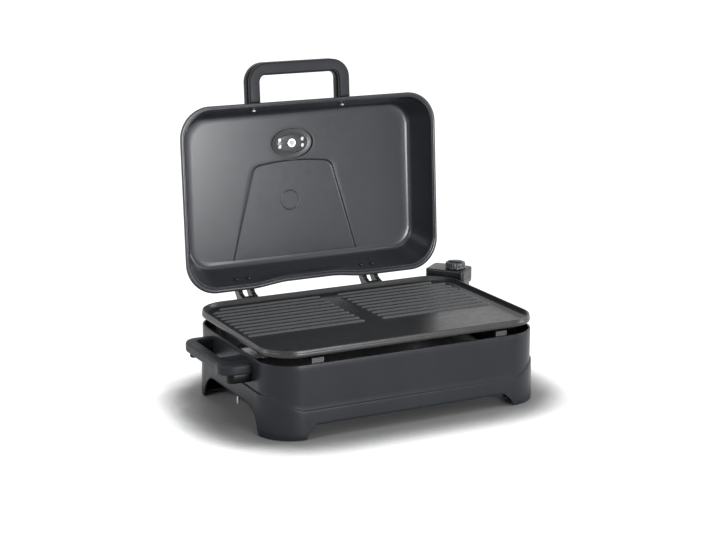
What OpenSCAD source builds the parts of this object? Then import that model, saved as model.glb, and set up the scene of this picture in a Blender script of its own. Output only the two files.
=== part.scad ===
// Electric indoor grill with a hinged lid, a lift-off plate and a plug-in heat control.
// The lid is drawn open. Lengths are in millimetres and angles in degrees.

/* [Base] */
// Width of the base at its rim
base_w = 430; // [400:5:460]
// Depth of the base at its rim
base_d = 290; // [270:5:310]
// Height of the base rim above the table
base_h = 106; // [100:1:115]
// Plan radius of the base corners
base_r = 51; // [44:1:58]
// Wall thickness of the base
base_wall = 3; // [2.5:0.5:4]
// Distance the lower skirt stands out beyond the rim
skirt_flare = 3.5; // [2:0.5:5]
// Height of the crease on the front wall
crease_z = 41; // [36:1:44]
// Height of the arch under the front and rear walls
front_arch_h = 20; // [14:1:22]
// Height of the arch under the side walls
side_arch_h = 36; // [30:1:38]
// Length of each corner foot along the front
foot_w = 52; // [46:1:60]
// Length of each corner foot along the side
foot_d = 48; // [44:1:60]

/* [Side handle] */
// Reach of the side handle beyond the base rim
side_handle_reach = 44; // [38:1:55]
// Length of the side handle along the base
side_handle_l = 156; // [140:2:170]
// Thickness of the grip bar
side_handle_t = 15; // [12:1:18]
// Width of the grip bar seen from above
side_handle_bar = 20; // [16:1:22]

/* [Grill plate] */
// Distance each side of the plate stands in from the base rim
plate_step = 1; // [0:0.5:4]
// Distance the plate sits behind the middle of the base
plate_y = 2; // [0:0.5:4]
// Plan radius of the plate corners
plate_r = 48; // [42:1:54]
// Height of the air gap between base rim and plate
air_gap = 10.5; // [9:0.5:14]
// Height of the plate rim band
plate_rim_h = 10; // [9:0.5:14]
// Number of ribs in each rib zone
rib_count = 10; // [6:1:10]
// Distance from one rib to the next
rib_pitch = 16.5; // [15:0.5:17.5]

/* [Lid] */
// Distance each side of the closed lid stands in from the plate's edge
lid_step = 1; // [0:0.5:3]
// Distance the closed lid stands in from the plate's rear edge
lid_rear_gap = 4; // [3:0.5:6]
// Distance the closed lid stands in from the plate's front edge
lid_front_gap = 5; // [3:0.5:8]
// Plan radius of the lid corners
lid_r = 48; // [42:1:54]
// Depth of the lid bowl
lid_h = 52; // [44:1:60]
// Thickness of the lid sheet
lid_t = 1.6; // [1.2:0.2:2.4]
// Angle of the open lid from the closed position
lid_open = 93.5; // [90:0.5:97]
// Sideways place of the lid fittings from the middle
fitting_x = -12; // [-20:1:0]
// Width of the lid handle
lid_handle_w = 168; // [140:2:190]
// Reach of the lid handle beyond the lid edge
lid_handle_reach = 58; // [50:1:66]
// Distance between the two hinges
hinge_span = 211; // [190:1:230]

/* [Heat control] */
// Direction of the control out of the rear right corner
control_angle = 40; // [38:1:52]
// Width of the control housing
control_w = 64; // [58:1:70]
// Length of the control housing
control_l = 46; // [42:1:54]
// Diameter of the control knob
knob_d = 32; // [26:1:34]
// Distance the probe reaches into the plate
probe_l = 58; // [50:1:62]

/* [Hidden] */

$fn = 48;
gap = 0.3;              // air between bodies that move apart
bore_gap = 0.05;        // radial clearance of running fits
cut = 1;                // extra length of every cutting tool
corner_n = 12;          // steps around each plan corner of a lofted shell

// Heights, from the table up
foot_pad_h = 4;
floor_z = side_arch_h + 1;
floor_t = 2.5;
shield_z = floor_z + floor_t;
shield_t = 1;
shield_air = 6;
tray_z = shield_z + shield_t + gap;
tray_h = 18;
plate_low_z = base_h + air_gap;
plate_top_z = plate_low_z + plate_rim_h;
plate_floor_z = plate_top_z - 7.5;
plate_under_z = plate_floor_z - 5.5;
rib_h = 2.4;
closed_z = plate_top_z + 1;

// Outline of the plate and of the closed lid
plate_w = base_w - 2 * plate_step;
plate_d = base_d;
lid_w = plate_w - 2 * lid_step;
lid_d = plate_d - lid_rear_gap - lid_front_gap;
lid_rear_y = plate_y + plate_d / 2 - lid_rear_gap;
lid_y = lid_rear_y - lid_d / 2;
plate_rear_y = plate_y + plate_d / 2;
hinge_behind = 13.4;
hinge_drop = 7.2;
hinge_y = lid_rear_y + hinge_behind;
hinge_z = closed_z - hinge_drop;

// Slope of the lid walls, as a share of the side wall's inset
front_slope = 0.95;
rear_slope = 1.3;
wall_inset = 18;

// Place of the lid fittings in the closed lid
vent_front = 70;
vent_y = lid_rear_y - lid_d + vent_front;
vent_w = 74;
vent_d = 51;
vent_sink = 3;
vent_slot_x = 19;
vent_slot_y = 5;
vent_pin_r = 2;
damper_r = 25;
damper_t = 1.2;
tab_reach = 28;
tab_r = 5;
tab_h = 4.8;
hinge_x = [fitting_x - hinge_span / 2, fitting_x + hinge_span / 2];
hinge_pin_r = 2.5;
hinge_eye_r = 5.5;
prong_w = 7;
knuckle_w = 12;
prong_x = knuckle_w / 2 + gap + prong_w / 2;

// Control, measured from the centre of the plate's rear right corner
corner_x = plate_w / 2 - plate_r;
corner_y = plate_y + plate_d / 2 - plate_r;
control_face = plate_r + 4;
control_top = plate_top_z + 8.5;
control_low = control_top - 34;
split_z = control_top - 14;
shell_t = 2.2;
control_screw_r = 1.4;
control_screw_l = 16;
control_r = 5;
plug_z = base_h + air_gap / 2;
insulator_r = 4.4;
insulator_x = 13;
insulator_l = 15;
pin_l = 31;
pin_z = plate_under_z - insulator_r - 1;
guard_w = 48;
guard_x = 15;
guard_low = pin_z - insulator_r - 2.2;
guard_screw_x = guard_x + 7;
guard_screw_y = guard_w / 2 - 3.5;
guard_screw_r = 1.2;
guard_screw_bite = 3;
corner_cut_x = plate_r - 23;
probe_r = 3;
pin_r = 2.2;
socket_r = 3.7;
socket_x = 31;
pin_y = 14;
knob_t = -11;
knob_out = control_face + control_l / 2;
knob_low = control_top + 0.4;
knob_h = 11.5;
shaft_r = 3;
lamp_t = 20;
lamp_r = 2.5;
inlet_r = 3.7;
inlet_l = 12;

// The frame's origin is under the middle of the whole object's outline, on the table
box_left = -base_w / 2 - side_handle_reach;
box_right = corner_x + cos(control_angle) * (control_face + control_l - control_r)
            + sin(control_angle) * (control_w / 2 - control_r) + control_r;
box_front = -base_d / 2 - skirt_flare;
box_back = hinge_y + (vent_y - tab_reach - tab_r - hinge_y) * cos(lid_open)
           + (lid_h + vent_sink + gap + tab_h + hinge_drop) * sin(lid_open);
frame_x = (box_left + box_right) / 2;
frame_y = (box_front + box_back) / 2;

// Puts a piece drawn about the middle of the base into the object's own frame
module in_frame() {
    translate([-frame_x, -frame_y, 0]) children();
}

// Puts a piece drawn in the closed lid into the open lid
// x runs sideways, y toward the hinges and z up from the lid's rim
module in_lid() {
    in_frame()
        translate([0, hinge_y, hinge_z])
            rotate([-lid_open, 0, 0])
                translate([0, -hinge_y, hinge_drop])
                    children();
}

// Puts a piece drawn at the control into place: x runs out of the corner, y across
module in_control() {
    in_frame()
        translate([corner_x, corner_y, 0])
            rotate([0, 0, control_angle])
                children();
}

// Rounded rectangle in the plane
module plan(w, d, r) {
    union() {
        square([w - 2 * r, d], center = true);
        square([w, d - 2 * r], center = true);
        for (sx = [-1, 1], sy = [-1, 1])
            translate([sx * (w / 2 - r), sy * (d / 2 - r)])
                circle(r = r);
    }
}

// Upright block with a rounded rectangular plan
module block(w, d, h, r) {
    linear_extrude(height = h) plan(w, d, r);
}

// Points of one rounded rectangle at height z
function ring(w, d, r, z, y = 0) = [
    for (q = [0 : 3], k = [0 : corner_n])
        let (a = 90 * q + 90 * k / corner_n,
             sx = (q == 0 || q == 3) ? 1 : -1,
             sy = (q < 2) ? 1 : -1)
        [sx * (w / 2 - r) + r * cos(a), y + sy * (d / 2 - r) + r * sin(a), z]
];

// Faces between neighbouring rings of m points each
function skin(n, m) = [
    for (i = [0 : n - 2], k = [0 : m - 1])
        [i * m + k, (i + 1) * m + k, (i + 1) * m + (k + 1) % m, i * m + (k + 1) % m]
];

// Solid bounded by a stack of rings, closed by its first and last ring
module loft(rings) {
    m = len(rings[0]);
    n = len(rings);
    polyhedron(
        points = [for (r = rings) each r],
        faces = concat(
            skin(n, m),
            [[for (k = [0 : m - 1]) k]],
            [[for (k = [m - 1 : -1 : 0]) (n - 1) * m + k]]
        )
    );
}

// A screw with a round head at the origin and its shank down the z axis
module screw(head_r, head_h, shank_r, shank_l) {
    union() {
        cylinder(r = head_r, h = head_h);
        translate([0, 0, -shank_l]) cylinder(r = shank_r, h = shank_l + cut / 2);
    }
}

// Places its children at the four corners of a rectangle
module at_corners(x, y) {
    for (sx = [-1, 1], sy = [-1, 1])
        translate([sx * x, sy * y, 0]) children();
}

// Outline of the base wall, grown by g and closed at the top and bottom
module base_solid(g, low, high) {
    loft([
        ring(base_w + 2 * (skirt_flare + g), base_d + 2 * (skirt_flare + g), base_r + g, low),
        ring(base_w + 2 * (skirt_flare + g) - 1, base_d + 2 * (skirt_flare + g) - 1, base_r + g, crease_z - 2),
        ring(base_w + 2 * g + 2, base_d + 2 * g + 2, base_r + g, crease_z + 1),
        ring(base_w + 2 * g, base_d + 2 * g, base_r + g, high)
    ]);
}

// Opening under the front and rear walls, narrowing upward between the feet
module front_arch() {
    half = base_w / 2 + skirt_flare - foot_w;
    translate([0, base_d, 0])
        rotate([90, 0, 0])
            linear_extrude(height = 2 * base_d)
                polygon([[-half, -cut], [half, -cut], [half - 3, 6], [half - 16, front_arch_h],
                         [16 - half, front_arch_h], [3 - half, 6]]);
}

// Opening under the side walls with round upper corners
module side_arch() {
    half = base_d / 2 + skirt_flare - foot_d;
    r = side_arch_h - 4;
    rotate([90, 0, 90])
        linear_extrude(height = base_w * 1.2, center = true)
            union() {
                translate([-half, -cut]) square([2 * half, side_arch_h - r + cut]);
                translate([r - half, -cut]) square([2 * (half - r), side_arch_h + cut]);
                for (s = [-1, 1])
                    translate([s * (half - r), side_arch_h - r]) circle(r = r);
            }
}

// The side handle's corners, and the step from its bar to the root of its arms
side_handle_r = 20;
root_step = 26;

// Feet pads sit under a web in each corner
pad_x = base_w / 2 - 24;
pad_y = base_d / 2 - 24;
pad_r = 11;
support_x = base_w / 2 - 70;
support_w = 18;
support_t = 1.2;
support_lip = 12;
support_back = base_d / 2 - base_wall - 0.05;
support_screw_z = base_h - 18;
support_screw_r = 1.7;
support_screw_l = 2;
stud_x = base_w / 2 - base_wall - 4;
stud_y = -10;
handle_screw_y = side_handle_l / 2 - 9;
rear_arm_l = 15;
front_arm_l = 61;
handle_screw_z = base_h - 20;

module base_housing() color([0.27, 0.28, 0.3]) in_frame() difference() {
    union() {
        difference() {
            base_solid(0, 1, base_h);
            difference() {
                base_solid(-base_wall, 0, base_h + cut);
                translate([0, 0, floor_z]) block(base_w, base_d, floor_t, base_r);
            }
            side_arch();
            front_arch();
        }
        // Corner webs carry the rubber feet
        intersection() {
            translate([0, 0, foot_pad_h]) block(base_w + 4, base_d + 4, 3, base_r + 2);
            at_corners(base_w / 2, base_d / 2)
                cube([2 * (foot_w - 8), 2 * (foot_d - 6), base_h], center = true);
        }
    }
    // Cut-out for the plug of the heat control
    translate([corner_x, corner_y, 0]) rotate([0, 0, control_angle])
        translate([corner_cut_x, -guard_w / 2 - 1, guard_low - 2])
            cube([plate_r + 12, guard_w + 2, base_h]);
    // Holes for the hinge bracket screws
    for (x = hinge_x, s = [-1, 1])
        translate([x + s * 11, base_d / 2 - 10, base_h - 26]) rotate([-90, 0, 0])
            cylinder(r = 1.8, h = 20);
    // Holes for the side handle screws
    for (s = [-1, 1])
        translate([-base_w / 2 - 8, s * handle_screw_y, handle_screw_z]) rotate([0, 90, 0])
            cylinder(r = 2.2, h = 20);
    // Blind holes for the screws of the plate supports
    for (s = [-1, 1])
        translate([0, s * (base_d / 2 - base_wall), 0])
            for (x = [-support_x, support_x])
                translate([x, 0, support_screw_z]) rotate([90, 0, 0])
                    cylinder(r = support_screw_r, h = 2 * support_screw_l, center = true);
    // Holes for the shield studs
    for (s = [-1, 1])
        translate([s * stud_x, stud_y, floor_z - cut]) cylinder(r = 2.2, h = floor_t + 2 * cut);
}

// Closed loop handle with one broad arm at the front
module side_handle() color([0.22, 0.23, 0.25]) in_frame() {
    out_x = base_w / 2 + side_handle_reach;
    handle_block_w = side_handle_reach + 2 * side_handle_r;
    low = base_h - 36;
    top = base_h - 9;
    hand_gap = [side_handle_reach - side_handle_bar - 1, side_handle_l - rear_arm_l - front_arm_l];
    difference() {
        intersection() {
            union() {
                translate([-out_x + handle_block_w / 2, 0, top - side_handle_t])
                    block(handle_block_w, side_handle_l, side_handle_t, side_handle_r);
                translate([-out_x + root_step + handle_block_w / 2, 0, low])
                    block(handle_block_w, side_handle_l - 4, top - low - 2, side_handle_r - 2);
            }
            translate([-out_x, -side_handle_l, low])
                cube([side_handle_reach + 4, 2 * side_handle_l, base_h]);
        }
        base_solid(0.05, low - cut, base_h);
        // Finger gap
        translate([-base_w / 2 - hand_gap[0], side_handle_l / 2 - rear_arm_l - hand_gap[1], low - cut])
            cube([hand_gap[0] + 10, hand_gap[1], base_h]);
        for (s = [-1, 1])
            translate([-base_w / 2 - 14, s * handle_screw_y, handle_screw_z]) rotate([0, 90, 0])
                cylinder(r = 1.9, h = 30);
    }
}

module side_handle_screws() color("silver") in_frame() {
    for (s = [-1, 1])
        translate([-base_w / 2 + base_wall + 0.3, s * handle_screw_y, handle_screw_z])
            rotate([0, 90, 0])
                screw(4, 2.4, 1.8, 15);
}

module rubber_feet() color([0.1, 0.1, 0.1]) in_frame() {
    at_corners(pad_x, pad_y) {
        cylinder(r = pad_r, h = foot_pad_h);
    }
}

// Sheet metal dish that keeps the heat off the base
module heat_shield() color([0.6, 0.6, 0.62]) in_frame() {
    w = base_w - 2 * (base_wall + shield_air);
    d = base_d - 2 * (base_wall + shield_air);
    t = shield_t;
    difference() {
        loft([
            ring(w - 16, d - 16, base_r - 17, shield_z),
            ring(w - 6, d - 6, base_r - 12, shield_z + 12),
            ring(w, d, base_r - 9, base_h - 12)
        ]);
        loft([
            ring(w - 16 - t, d - 16 - t, base_r - 17, shield_z + t),
            ring(w - 6 - 2 * t, d - 6 - 2 * t, base_r - 12 - t, shield_z + 12 + t),
            ring(w - 2 * t, d - 2 * t, base_r - 9 - t, base_h - 12 + cut)
        ]);
        translate([corner_x, corner_y, 0]) rotate([0, 0, control_angle])
            translate([corner_cut_x - 12, -guard_w / 2 - 2, guard_low - 14])
                cube([plate_r + 24, guard_w + 4, base_h]);
    }
}

// Studs that pass through the base floor beside the side walls
module shield_studs() color("silver") in_frame() {
    for (s = [-1, 1])
        translate([s * stud_x, stud_y, floor_z - 18])
            cylinder(r = 2.1, h = 18 + floor_t);
}

// Bent strips on the front and rear walls that hold the plate above the rim
module plate_supports() color("silver") in_frame() {
    low = base_h - 30;
    high = plate_under_z - gap;
    for (sx = [-1, 1], turn = [0, 180])
        rotate([0, 0, turn]) translate([sx * support_x, support_back, 0])
            difference() {
                union() {
                    translate([-support_w / 2, -support_t, low])
                        cube([support_w, support_t, high - low]);
                    translate([-support_w / 2, -support_lip, high - support_t])
                        cube([support_w, support_lip, support_t]);
                }
                translate([0, 0, support_screw_z]) rotate([90, 0, 0])
                    cylinder(r = support_screw_r, h = 4 * support_t, center = true);
            }
}

module support_screws() color("silver") in_frame() {
    for (sx = [-1, 1], turn = [0, 180])
        rotate([0, 0, turn])
            translate([sx * support_x, support_back - support_t, support_screw_z])
                rotate([90, 0, 0])
                    screw(3.4, 2, support_screw_r, support_t + support_screw_l);
}

// One eye on a foot plate, screwed to the rear wall of the base
module base_hinge_brackets() color([0.2, 0.2, 0.22]) in_frame() {
    wall_y = base_d / 2 + 1.2;
    for (x = hinge_x)
        difference() {
            union() {
                translate([x - 17, wall_y, base_h - 38]) cube([34, 3, 30]);
                translate([x - knuckle_w / 2, wall_y, base_h - 30])
                    cube([knuckle_w, hinge_y + hinge_eye_r - 2 - wall_y, 24]);
                translate([x - knuckle_w / 2, hinge_y - 4, base_h - 20])
                    cube([knuckle_w, 4 + hinge_eye_r - 2, hinge_z - base_h + 20]);
                translate([x, hinge_y, hinge_z]) rotate([0, 90, 0])
                    cylinder(r = hinge_eye_r, h = knuckle_w, center = true);
            }
            translate([x, hinge_y, hinge_z]) rotate([0, 90, 0])
                cylinder(r = hinge_pin_r, h = knuckle_w + 2 * cut, center = true);
            for (s = [-1, 1])
                translate([x + s * 11, wall_y - cut, base_h - 26]) rotate([-90, 0, 0])
                    cylinder(r = 1.8, h = 10);
        }
}

module base_hinge_screws() color("silver") in_frame() {
    for (x = hinge_x, s = [-1, 1])
        translate([x + s * 11, base_d / 2 + 4.2, base_h - 26]) rotate([-90, 0, 0])
            screw(3.4, 2, 1.75, 9);
}

module hinge_pins() color("silver") in_frame() {
    for (x = hinge_x)
        translate([x, hinge_y, hinge_z]) rotate([0, 90, 0])
            cylinder(r = hinge_pin_r, h = 2 * prong_x + prong_w + 2, center = true);
}

// Shallow dish that catches fat under the plate drain
module drip_tray() color([0.62, 0.62, 0.64]) in_frame() {
    w = base_w - 60;
    d = base_d - 60;
    difference() {
        union() {
            loft([
                ring(w - 14, d - 14, 30, tray_z),
                ring(w, d, 36, tray_z + tray_h)
            ]);
            translate([0, 0, tray_z + tray_h - 1]) block(w + 12, d + 12, 1, 40);
        }
        loft([
            ring(w - 16, d - 16, 29, tray_z + 1),
            ring(w - 2, d - 2, 35, tray_z + tray_h + cut)
        ]);
    }
}

// Ribs, side to side, in one zone on each side of the middle channel
channel_w = 36;
rib_w = 7;
rib_y0 = plate_y + plate_d / 2 - 22;
rib_x1 = plate_w / 2 - 22;

module rib(x0, x1, y) {
    translate([0, y, plate_floor_z - 0.5]) {
        translate([x0, -rib_w / 2, 0]) cube([x1 - x0, rib_w, rib_h + 0.5]);
        for (x = [x0, x1]) translate([x, 0, 0]) cylinder(r = rib_w / 2, h = rib_h + 0.5);
    }
}

module grill_plate() color([0.16, 0.17, 0.19]) in_frame() {
    drain_y = plate_y - plate_d / 2 + 26;
    rail = plate_rim_h + (plate_low_z - plate_under_z);
    difference() {
        union() {
            translate([0, plate_y, 0])
                difference() {
                    union() {
                        translate([0, 0, plate_low_z]) block(plate_w, plate_d, plate_rim_h, plate_r);
                        translate([0, 0, plate_under_z]) block(plate_w - 14, plate_d - 14, rail, plate_r - 7);
                    }
                    loft([
                        ring(plate_w - 22, plate_d - 22, plate_r - 11, plate_floor_z),
                        ring(plate_w - 14, plate_d - 14, plate_r - 7, plate_floor_z + 3),
                        ring(plate_w - 8, plate_d - 8, plate_r - 4, plate_top_z - 1),
                        ring(plate_w - 6, plate_d - 6, plate_r - 3, plate_top_z + cut)
                    ]);
                }
            for (i = [0 : rib_count - 1], s = [-1, 1])
                let (y = rib_y0 - i * rib_pitch,
                     back = max(0, y - (corner_y)),
                     reach = corner_x + sqrt(max(0, pow(plate_r - 22, 2) - pow(back, 2))))
                    rib(min(s * channel_w / 2, s * reach), max(s * channel_w / 2, s * reach), y);
            // Boss that holds the probe and the terminals
            translate([corner_x, corner_y, 0]) rotate([0, 0, control_angle])
                translate([-16, -9, plug_z - 5.2]) cube([50, 18, plate_under_z - plug_z + 5.7]);
        }
        // Probe bore
        translate([corner_x, corner_y, plug_z]) rotate([0, 90, control_angle])
            translate([0, 0, control_face - probe_l - 2]) cylinder(r = probe_r + bore_gap, h = 60);
        // Holes for the screws of the terminal guard
        translate([corner_x, corner_y, plate_under_z - cut]) rotate([0, 0, control_angle])
            for (t = [-guard_screw_y, guard_screw_y])
                translate([guard_screw_x, t, 0])
                    cylinder(r = guard_screw_r, h = guard_screw_bite + cut);
        // Drain hole into the tray
        translate([0, drain_y, plate_under_z - cut]) cylinder(r = 5, h = 20);
    }
}

// Tube that runs round under the plate and ends at the rear right corner
element_r = 4;
element_z = plate_under_z - element_r - 0.1;
element_w = plate_w - 150;
element_d = plate_d - 110;
element_bend = 40;
clip_x = 0.6 * (element_w / 2 - element_bend);
clip_l = 12;
clip_w = 22;
clip_t = 1.5;
clip_gap = 0.1;

module element_bar(x, y, turn, length) {
    translate([x, y, element_z]) rotate([0, 90, turn])
        cylinder(r = element_r, h = length);
}

module element_turn(x, y, start, sweep) {
    translate([x, y, element_z]) rotate([0, 0, start])
        rotate_extrude(angle = sweep) translate([element_bend, 0]) circle(r = element_r);
}

module heating_element() color([0.35, 0.35, 0.37]) in_frame() translate([0, plate_y, 0]) {
    x = element_w / 2;
    y = element_d / 2;
    b = element_bend;
    union() {
        element_bar(b - x, -y, 0, 2 * (x - b));
        element_bar(b - x, y, 0, 2 * (x - b) + 20);
        element_bar(-x, b - y, 90, 2 * (y - b));
        element_bar(x, b - y, 90, 2 * (y - b) - 10);
        element_turn(b - x, b - y, 180, 90);
        element_turn(x - b, b - y, 270, 90);
        element_turn(b - x, y - b, 90, 90);
    }
}

module element_clips() color("silver") in_frame() translate([0, plate_y, 0]) {
    for (sx = [-1, 1], sy = [-1, 1])
        translate([sx * clip_x, sy * element_d / 2, element_z])
            difference() {
                translate([-clip_l / 2, -clip_w / 2, -element_r - clip_t])
                    cube([clip_l, clip_w, 2 * element_r + clip_t]);
                rotate([0, 90, 0])
                    cylinder(r = element_r + clip_gap, h = clip_l + 2 * cut, center = true);
                translate([-clip_l / 2 - cut, -element_r - clip_gap, 0])
                    cube([clip_l + 2 * cut, 2 * (element_r + clip_gap), 2 * element_r]);
            }
}

module terminal_pins() color("goldenrod") in_control() {
    for (s = [-1, 1])
        translate([insulator_x, s * pin_y, pin_z]) rotate([0, 90, 0]) cylinder(r = pin_r, h = pin_l);
}

module terminal_insulators() color("ivory") in_control() {
    for (s = [-1, 1])
        translate([insulator_x, s * pin_y, pin_z]) rotate([0, 90, 0])
            difference() {
                cylinder(r = insulator_r, h = insulator_l);
                translate([0, 0, -cut]) cylinder(r = pin_r, h = insulator_l + 2 * cut);
            }
}

// Sheet metal shroud that hangs from the plate round the terminals
module terminal_guard() color("silver") in_control() {
    low = guard_low;
    high = plate_under_z - 0.05;
    guard_l = 26;
    probe_slot_w = 20;
    translate([guard_x, 0, 0])
        difference() {
            translate([0, -guard_w / 2, low]) cube([guard_l, guard_w, high - low]);
            translate([1, 1 - guard_w / 2, low + 1]) cube([guard_l, guard_w - 2, high - low]);
            translate([-cut, -probe_slot_w / 2, low - cut]) cube([4, probe_slot_w, high - low + 2 * cut]);
            for (t = [-pin_y, pin_y])
                translate([-cut, t, pin_z]) rotate([0, 90, 0]) cylinder(r = insulator_r, h = 4);
            for (t = [-guard_screw_y, guard_screw_y])
                translate([guard_screw_x - guard_x, t, low - cut]) cylinder(r = guard_screw_r, h = 4);
        }
}

module guard_screws() color("silver") in_control() {
    for (s = [-1, 1])
        translate([guard_screw_x, s * guard_screw_y, guard_low]) rotate([180, 0, 0])
            screw(2.4, 1.4, guard_screw_r, plate_under_z - guard_low + guard_screw_bite);
}

// Lid wall at inset t and height z
function lid_ring(t, z) = ring(
    lid_w - 2 * t,
    lid_d - t * (front_slope + rear_slope),
    lid_r - 0.6 * t,
    z,
    lid_y + t * (front_slope - rear_slope) / 2
);

// Solid inside the lid's outer wall, moved inward by g
module lid_solid(g, low) {
    top = lid_h - g;
    loft([
        lid_ring(g * 1.1 + 3, low),
        lid_ring(g * 1.1 + 3, 4),
        lid_ring(g * 1.1 + 6, 11),
        lid_ring(g * 1.1 + 10, 24),
        lid_ring(g * 1.1 + 13.5, 38),
        lid_ring(g * 1.1 + wall_inset - 1.5, top - 6),
        lid_ring(g * 1.1 + wall_inset + 1, top - 2.5),
        lid_ring(g * 1.1 + wall_inset + 5, top - 0.6),
        lid_ring(g * 1.1 + wall_inset + 9, top)
    ]);
}

// Pressed panel on the lid, narrow toward the front
panel_rear = lid_rear_y - 28;
panel_front = vent_y + 32;
panel_rear_w = 216;
panel_front_w = 132;
module panel_outline(g) {
    w0 = panel_rear_w / 2 + g;
    w1 = panel_front_w / 2 + g;
    r = 12;
    polygon(concat(
        [[-w0, panel_rear + g], [w0, panel_rear + g]],
        [for (k = [0 : 4]) let (a = -15 - 18 * k) [w1 - r + r * cos(a), panel_front - g + r + r * sin(a)]],
        [for (k = [0 : 4]) let (a = -93 - 18 * k) [r - w1 + r * cos(a), panel_front - g + r + r * sin(a)]]
    ));
}

// Legs and screws of the lid handle, with heights above the lid's rim
lid_handle_h = 23;
lid_handle_r = 22;
handle_screw_h = 24;
handle_leg_w = 19;
handle_leg_x = lid_handle_w / 2 - 10;

module vent_oval(w, d, h) {
    linear_extrude(height = h) scale([1, d / w]) circle(d = w);
}

module lid_shell() color([0.45, 0.46, 0.48]) in_lid() {
    difference() {
        union() {
            lid_solid(0, 0);
            loft([lid_ring(0.8, 0), lid_ring(0, 0.8), lid_ring(0, 4.2), lid_ring(0.8, 5)]);
            translate([fitting_x, 0, lid_h - 1.2]) linear_extrude(height = 2.7) panel_outline(0);
            translate([fitting_x, vent_y, lid_h - 1.2]) vent_oval(vent_w, vent_d, vent_sink + 1.2);
        }
        lid_solid(lid_t, -cut);
        translate([fitting_x, 0, lid_h - lid_t - cut]) linear_extrude(height = 1.5 + cut)
            panel_outline(-lid_t);
        translate([fitting_x, vent_y, lid_h - lid_t - cut])
            vent_oval(vent_w - 2 * lid_t, vent_d - 2 * lid_t, vent_sink + cut);
        // Vent holes on both sides of the pivot
        translate([fitting_x, vent_y, 0])
            for (s = [-1, 1], k = [-1, 1])
                translate([s * vent_slot_x, k * vent_slot_y, lid_h - 5]) cylinder(r = 3, h = 12);
        translate([fitting_x, vent_y, lid_h - 5]) cylinder(r = vent_pin_r + bore_gap, h = 12);
        // Holes for the handle screws
        for (s = [-1, 1])
            translate([fitting_x + s * handle_leg_x, lid_y - lid_d / 2 - 4, handle_screw_h])
                rotate([-90, 0, 0]) cylinder(r = 2.2, h = 24);
        // Holes for the hinge screws
        for (x = hinge_x, s = [-1, 1])
            translate([x + s * prong_x, lid_rear_y - 20, 16]) rotate([-90, 0, 0])
                cylinder(r = 1.8, h = 30);
    }
}

// Wide U on the front wall of the lid
module lid_handle() color([0.3, 0.31, 0.33]) in_lid() {
    front_y = lid_y - lid_d / 2;
    low = handle_screw_h - lid_handle_h / 2;
    bar = 18;
    difference() {
        translate([fitting_x, 0, low])
            linear_extrude(height = lid_handle_h)
                difference() {
                    translate([0, front_y + lid_handle_r - lid_handle_reach / 2])
                        plan(lid_handle_w, lid_handle_reach + 2 * lid_handle_r, lid_handle_r);
                    translate([0, front_y - lid_handle_reach / 2 + bar / 2 + lid_handle_r])
                        plan(lid_handle_w - 2 * handle_leg_w, lid_handle_reach - bar + 2 * lid_handle_r, 12);
                    translate([-lid_w / 2, front_y + 17]) square([lid_w, lid_d]);
                }
        lid_solid(-0.05, 0);
        for (s = [-1, 1])
            translate([fitting_x + s * handle_leg_x, front_y - 16, handle_screw_h])
                rotate([-90, 0, 0]) cylinder(r = 1.9, h = 40);
    }
}

module lid_handle_screws() color("silver") in_lid() {
    for (s = [-1, 1])
        translate([fitting_x + s * handle_leg_x, lid_y - lid_d / 2 + 12.4, handle_screw_h])
            rotate([-90, 0, 0])
                screw(4.2, 2.2, 1.8, 24);
}

// Two prongs a hinge, from the rear wall of the lid down to the pin
module lid_hinge_arms() color([0.2, 0.2, 0.22]) in_lid() {
    axis = [hinge_y, -hinge_drop];
    for (x = hinge_x)
        difference() {
            union() {
                for (s = [-1, 1])
                    translate([x + s * prong_x, 0, 0]) rotate([90, 0, 90]) {
                        linear_extrude(height = prong_w, center = true)
                            polygon([[lid_rear_y - 14, 24], [lid_rear_y - 9, 8], [lid_rear_y - 2, 6],
                                     [plate_rear_y + 0.7, 0.7], [axis[0] - 4.5, axis[1] - 1.5],
                                     [axis[0] + 5.5, axis[1]], [axis[0] + 5.4, axis[1] + 5],
                                     [axis[0] + 2, axis[1] + 16], [lid_rear_y - 6, 26]]);
                        translate([axis[0], axis[1], 0]) cylinder(r = hinge_eye_r, h = prong_w, center = true);
                    }
                translate([x - prong_x, lid_rear_y - 11.5, 10]) cube([2 * prong_x, 6, 13]);
            }
            lid_solid(-0.05, 0);
            loft([lid_ring(0, -cut), lid_ring(-0.05, 0.8), lid_ring(-0.05, 4.2), lid_ring(0.8, 5.1)]);
            translate([x, axis[0], axis[1]]) rotate([0, 90, 0])
                cylinder(r = hinge_pin_r + bore_gap, h = 4 * knuckle_w, center = true);
            for (s = [-1, 1])
                translate([x + s * prong_x, lid_rear_y - 30, 16]) rotate([-90, 0, 0])
                    cylinder(r = 1.5, h = 30);
        }
}

module lid_hinge_screws() color("silver") in_lid() {
    for (x = hinge_x, s = [-1, 1])
        translate([x + s * prong_x, lid_rear_y - 14, 16]) rotate([90, 0, 0])
            screw(3.4, 2, 1.45, 10);
}

// Oval disc behind the vent with the same holes, turned by its small tab
module vent_damper() color([0.5, 0.5, 0.52]) in_lid() {
    low = lid_h + vent_sink + gap;
    translate([fitting_x, vent_y, low])
        difference() {
            union() {
                cylinder(r = damper_r, h = damper_t);
                translate([0, -tab_reach, 0]) cylinder(r = tab_r, h = tab_h);
            }
            for (s = [-1, 1], k = [-1, 1])
                translate([s * vent_slot_x, k * vent_slot_y, -cut])
                    cylinder(r = 3.4, h = damper_t + 2 * cut);
            translate([0, 0, -cut]) cylinder(r = vent_pin_r + bore_gap, h = damper_t + 2 * cut);
        }
}

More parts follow.
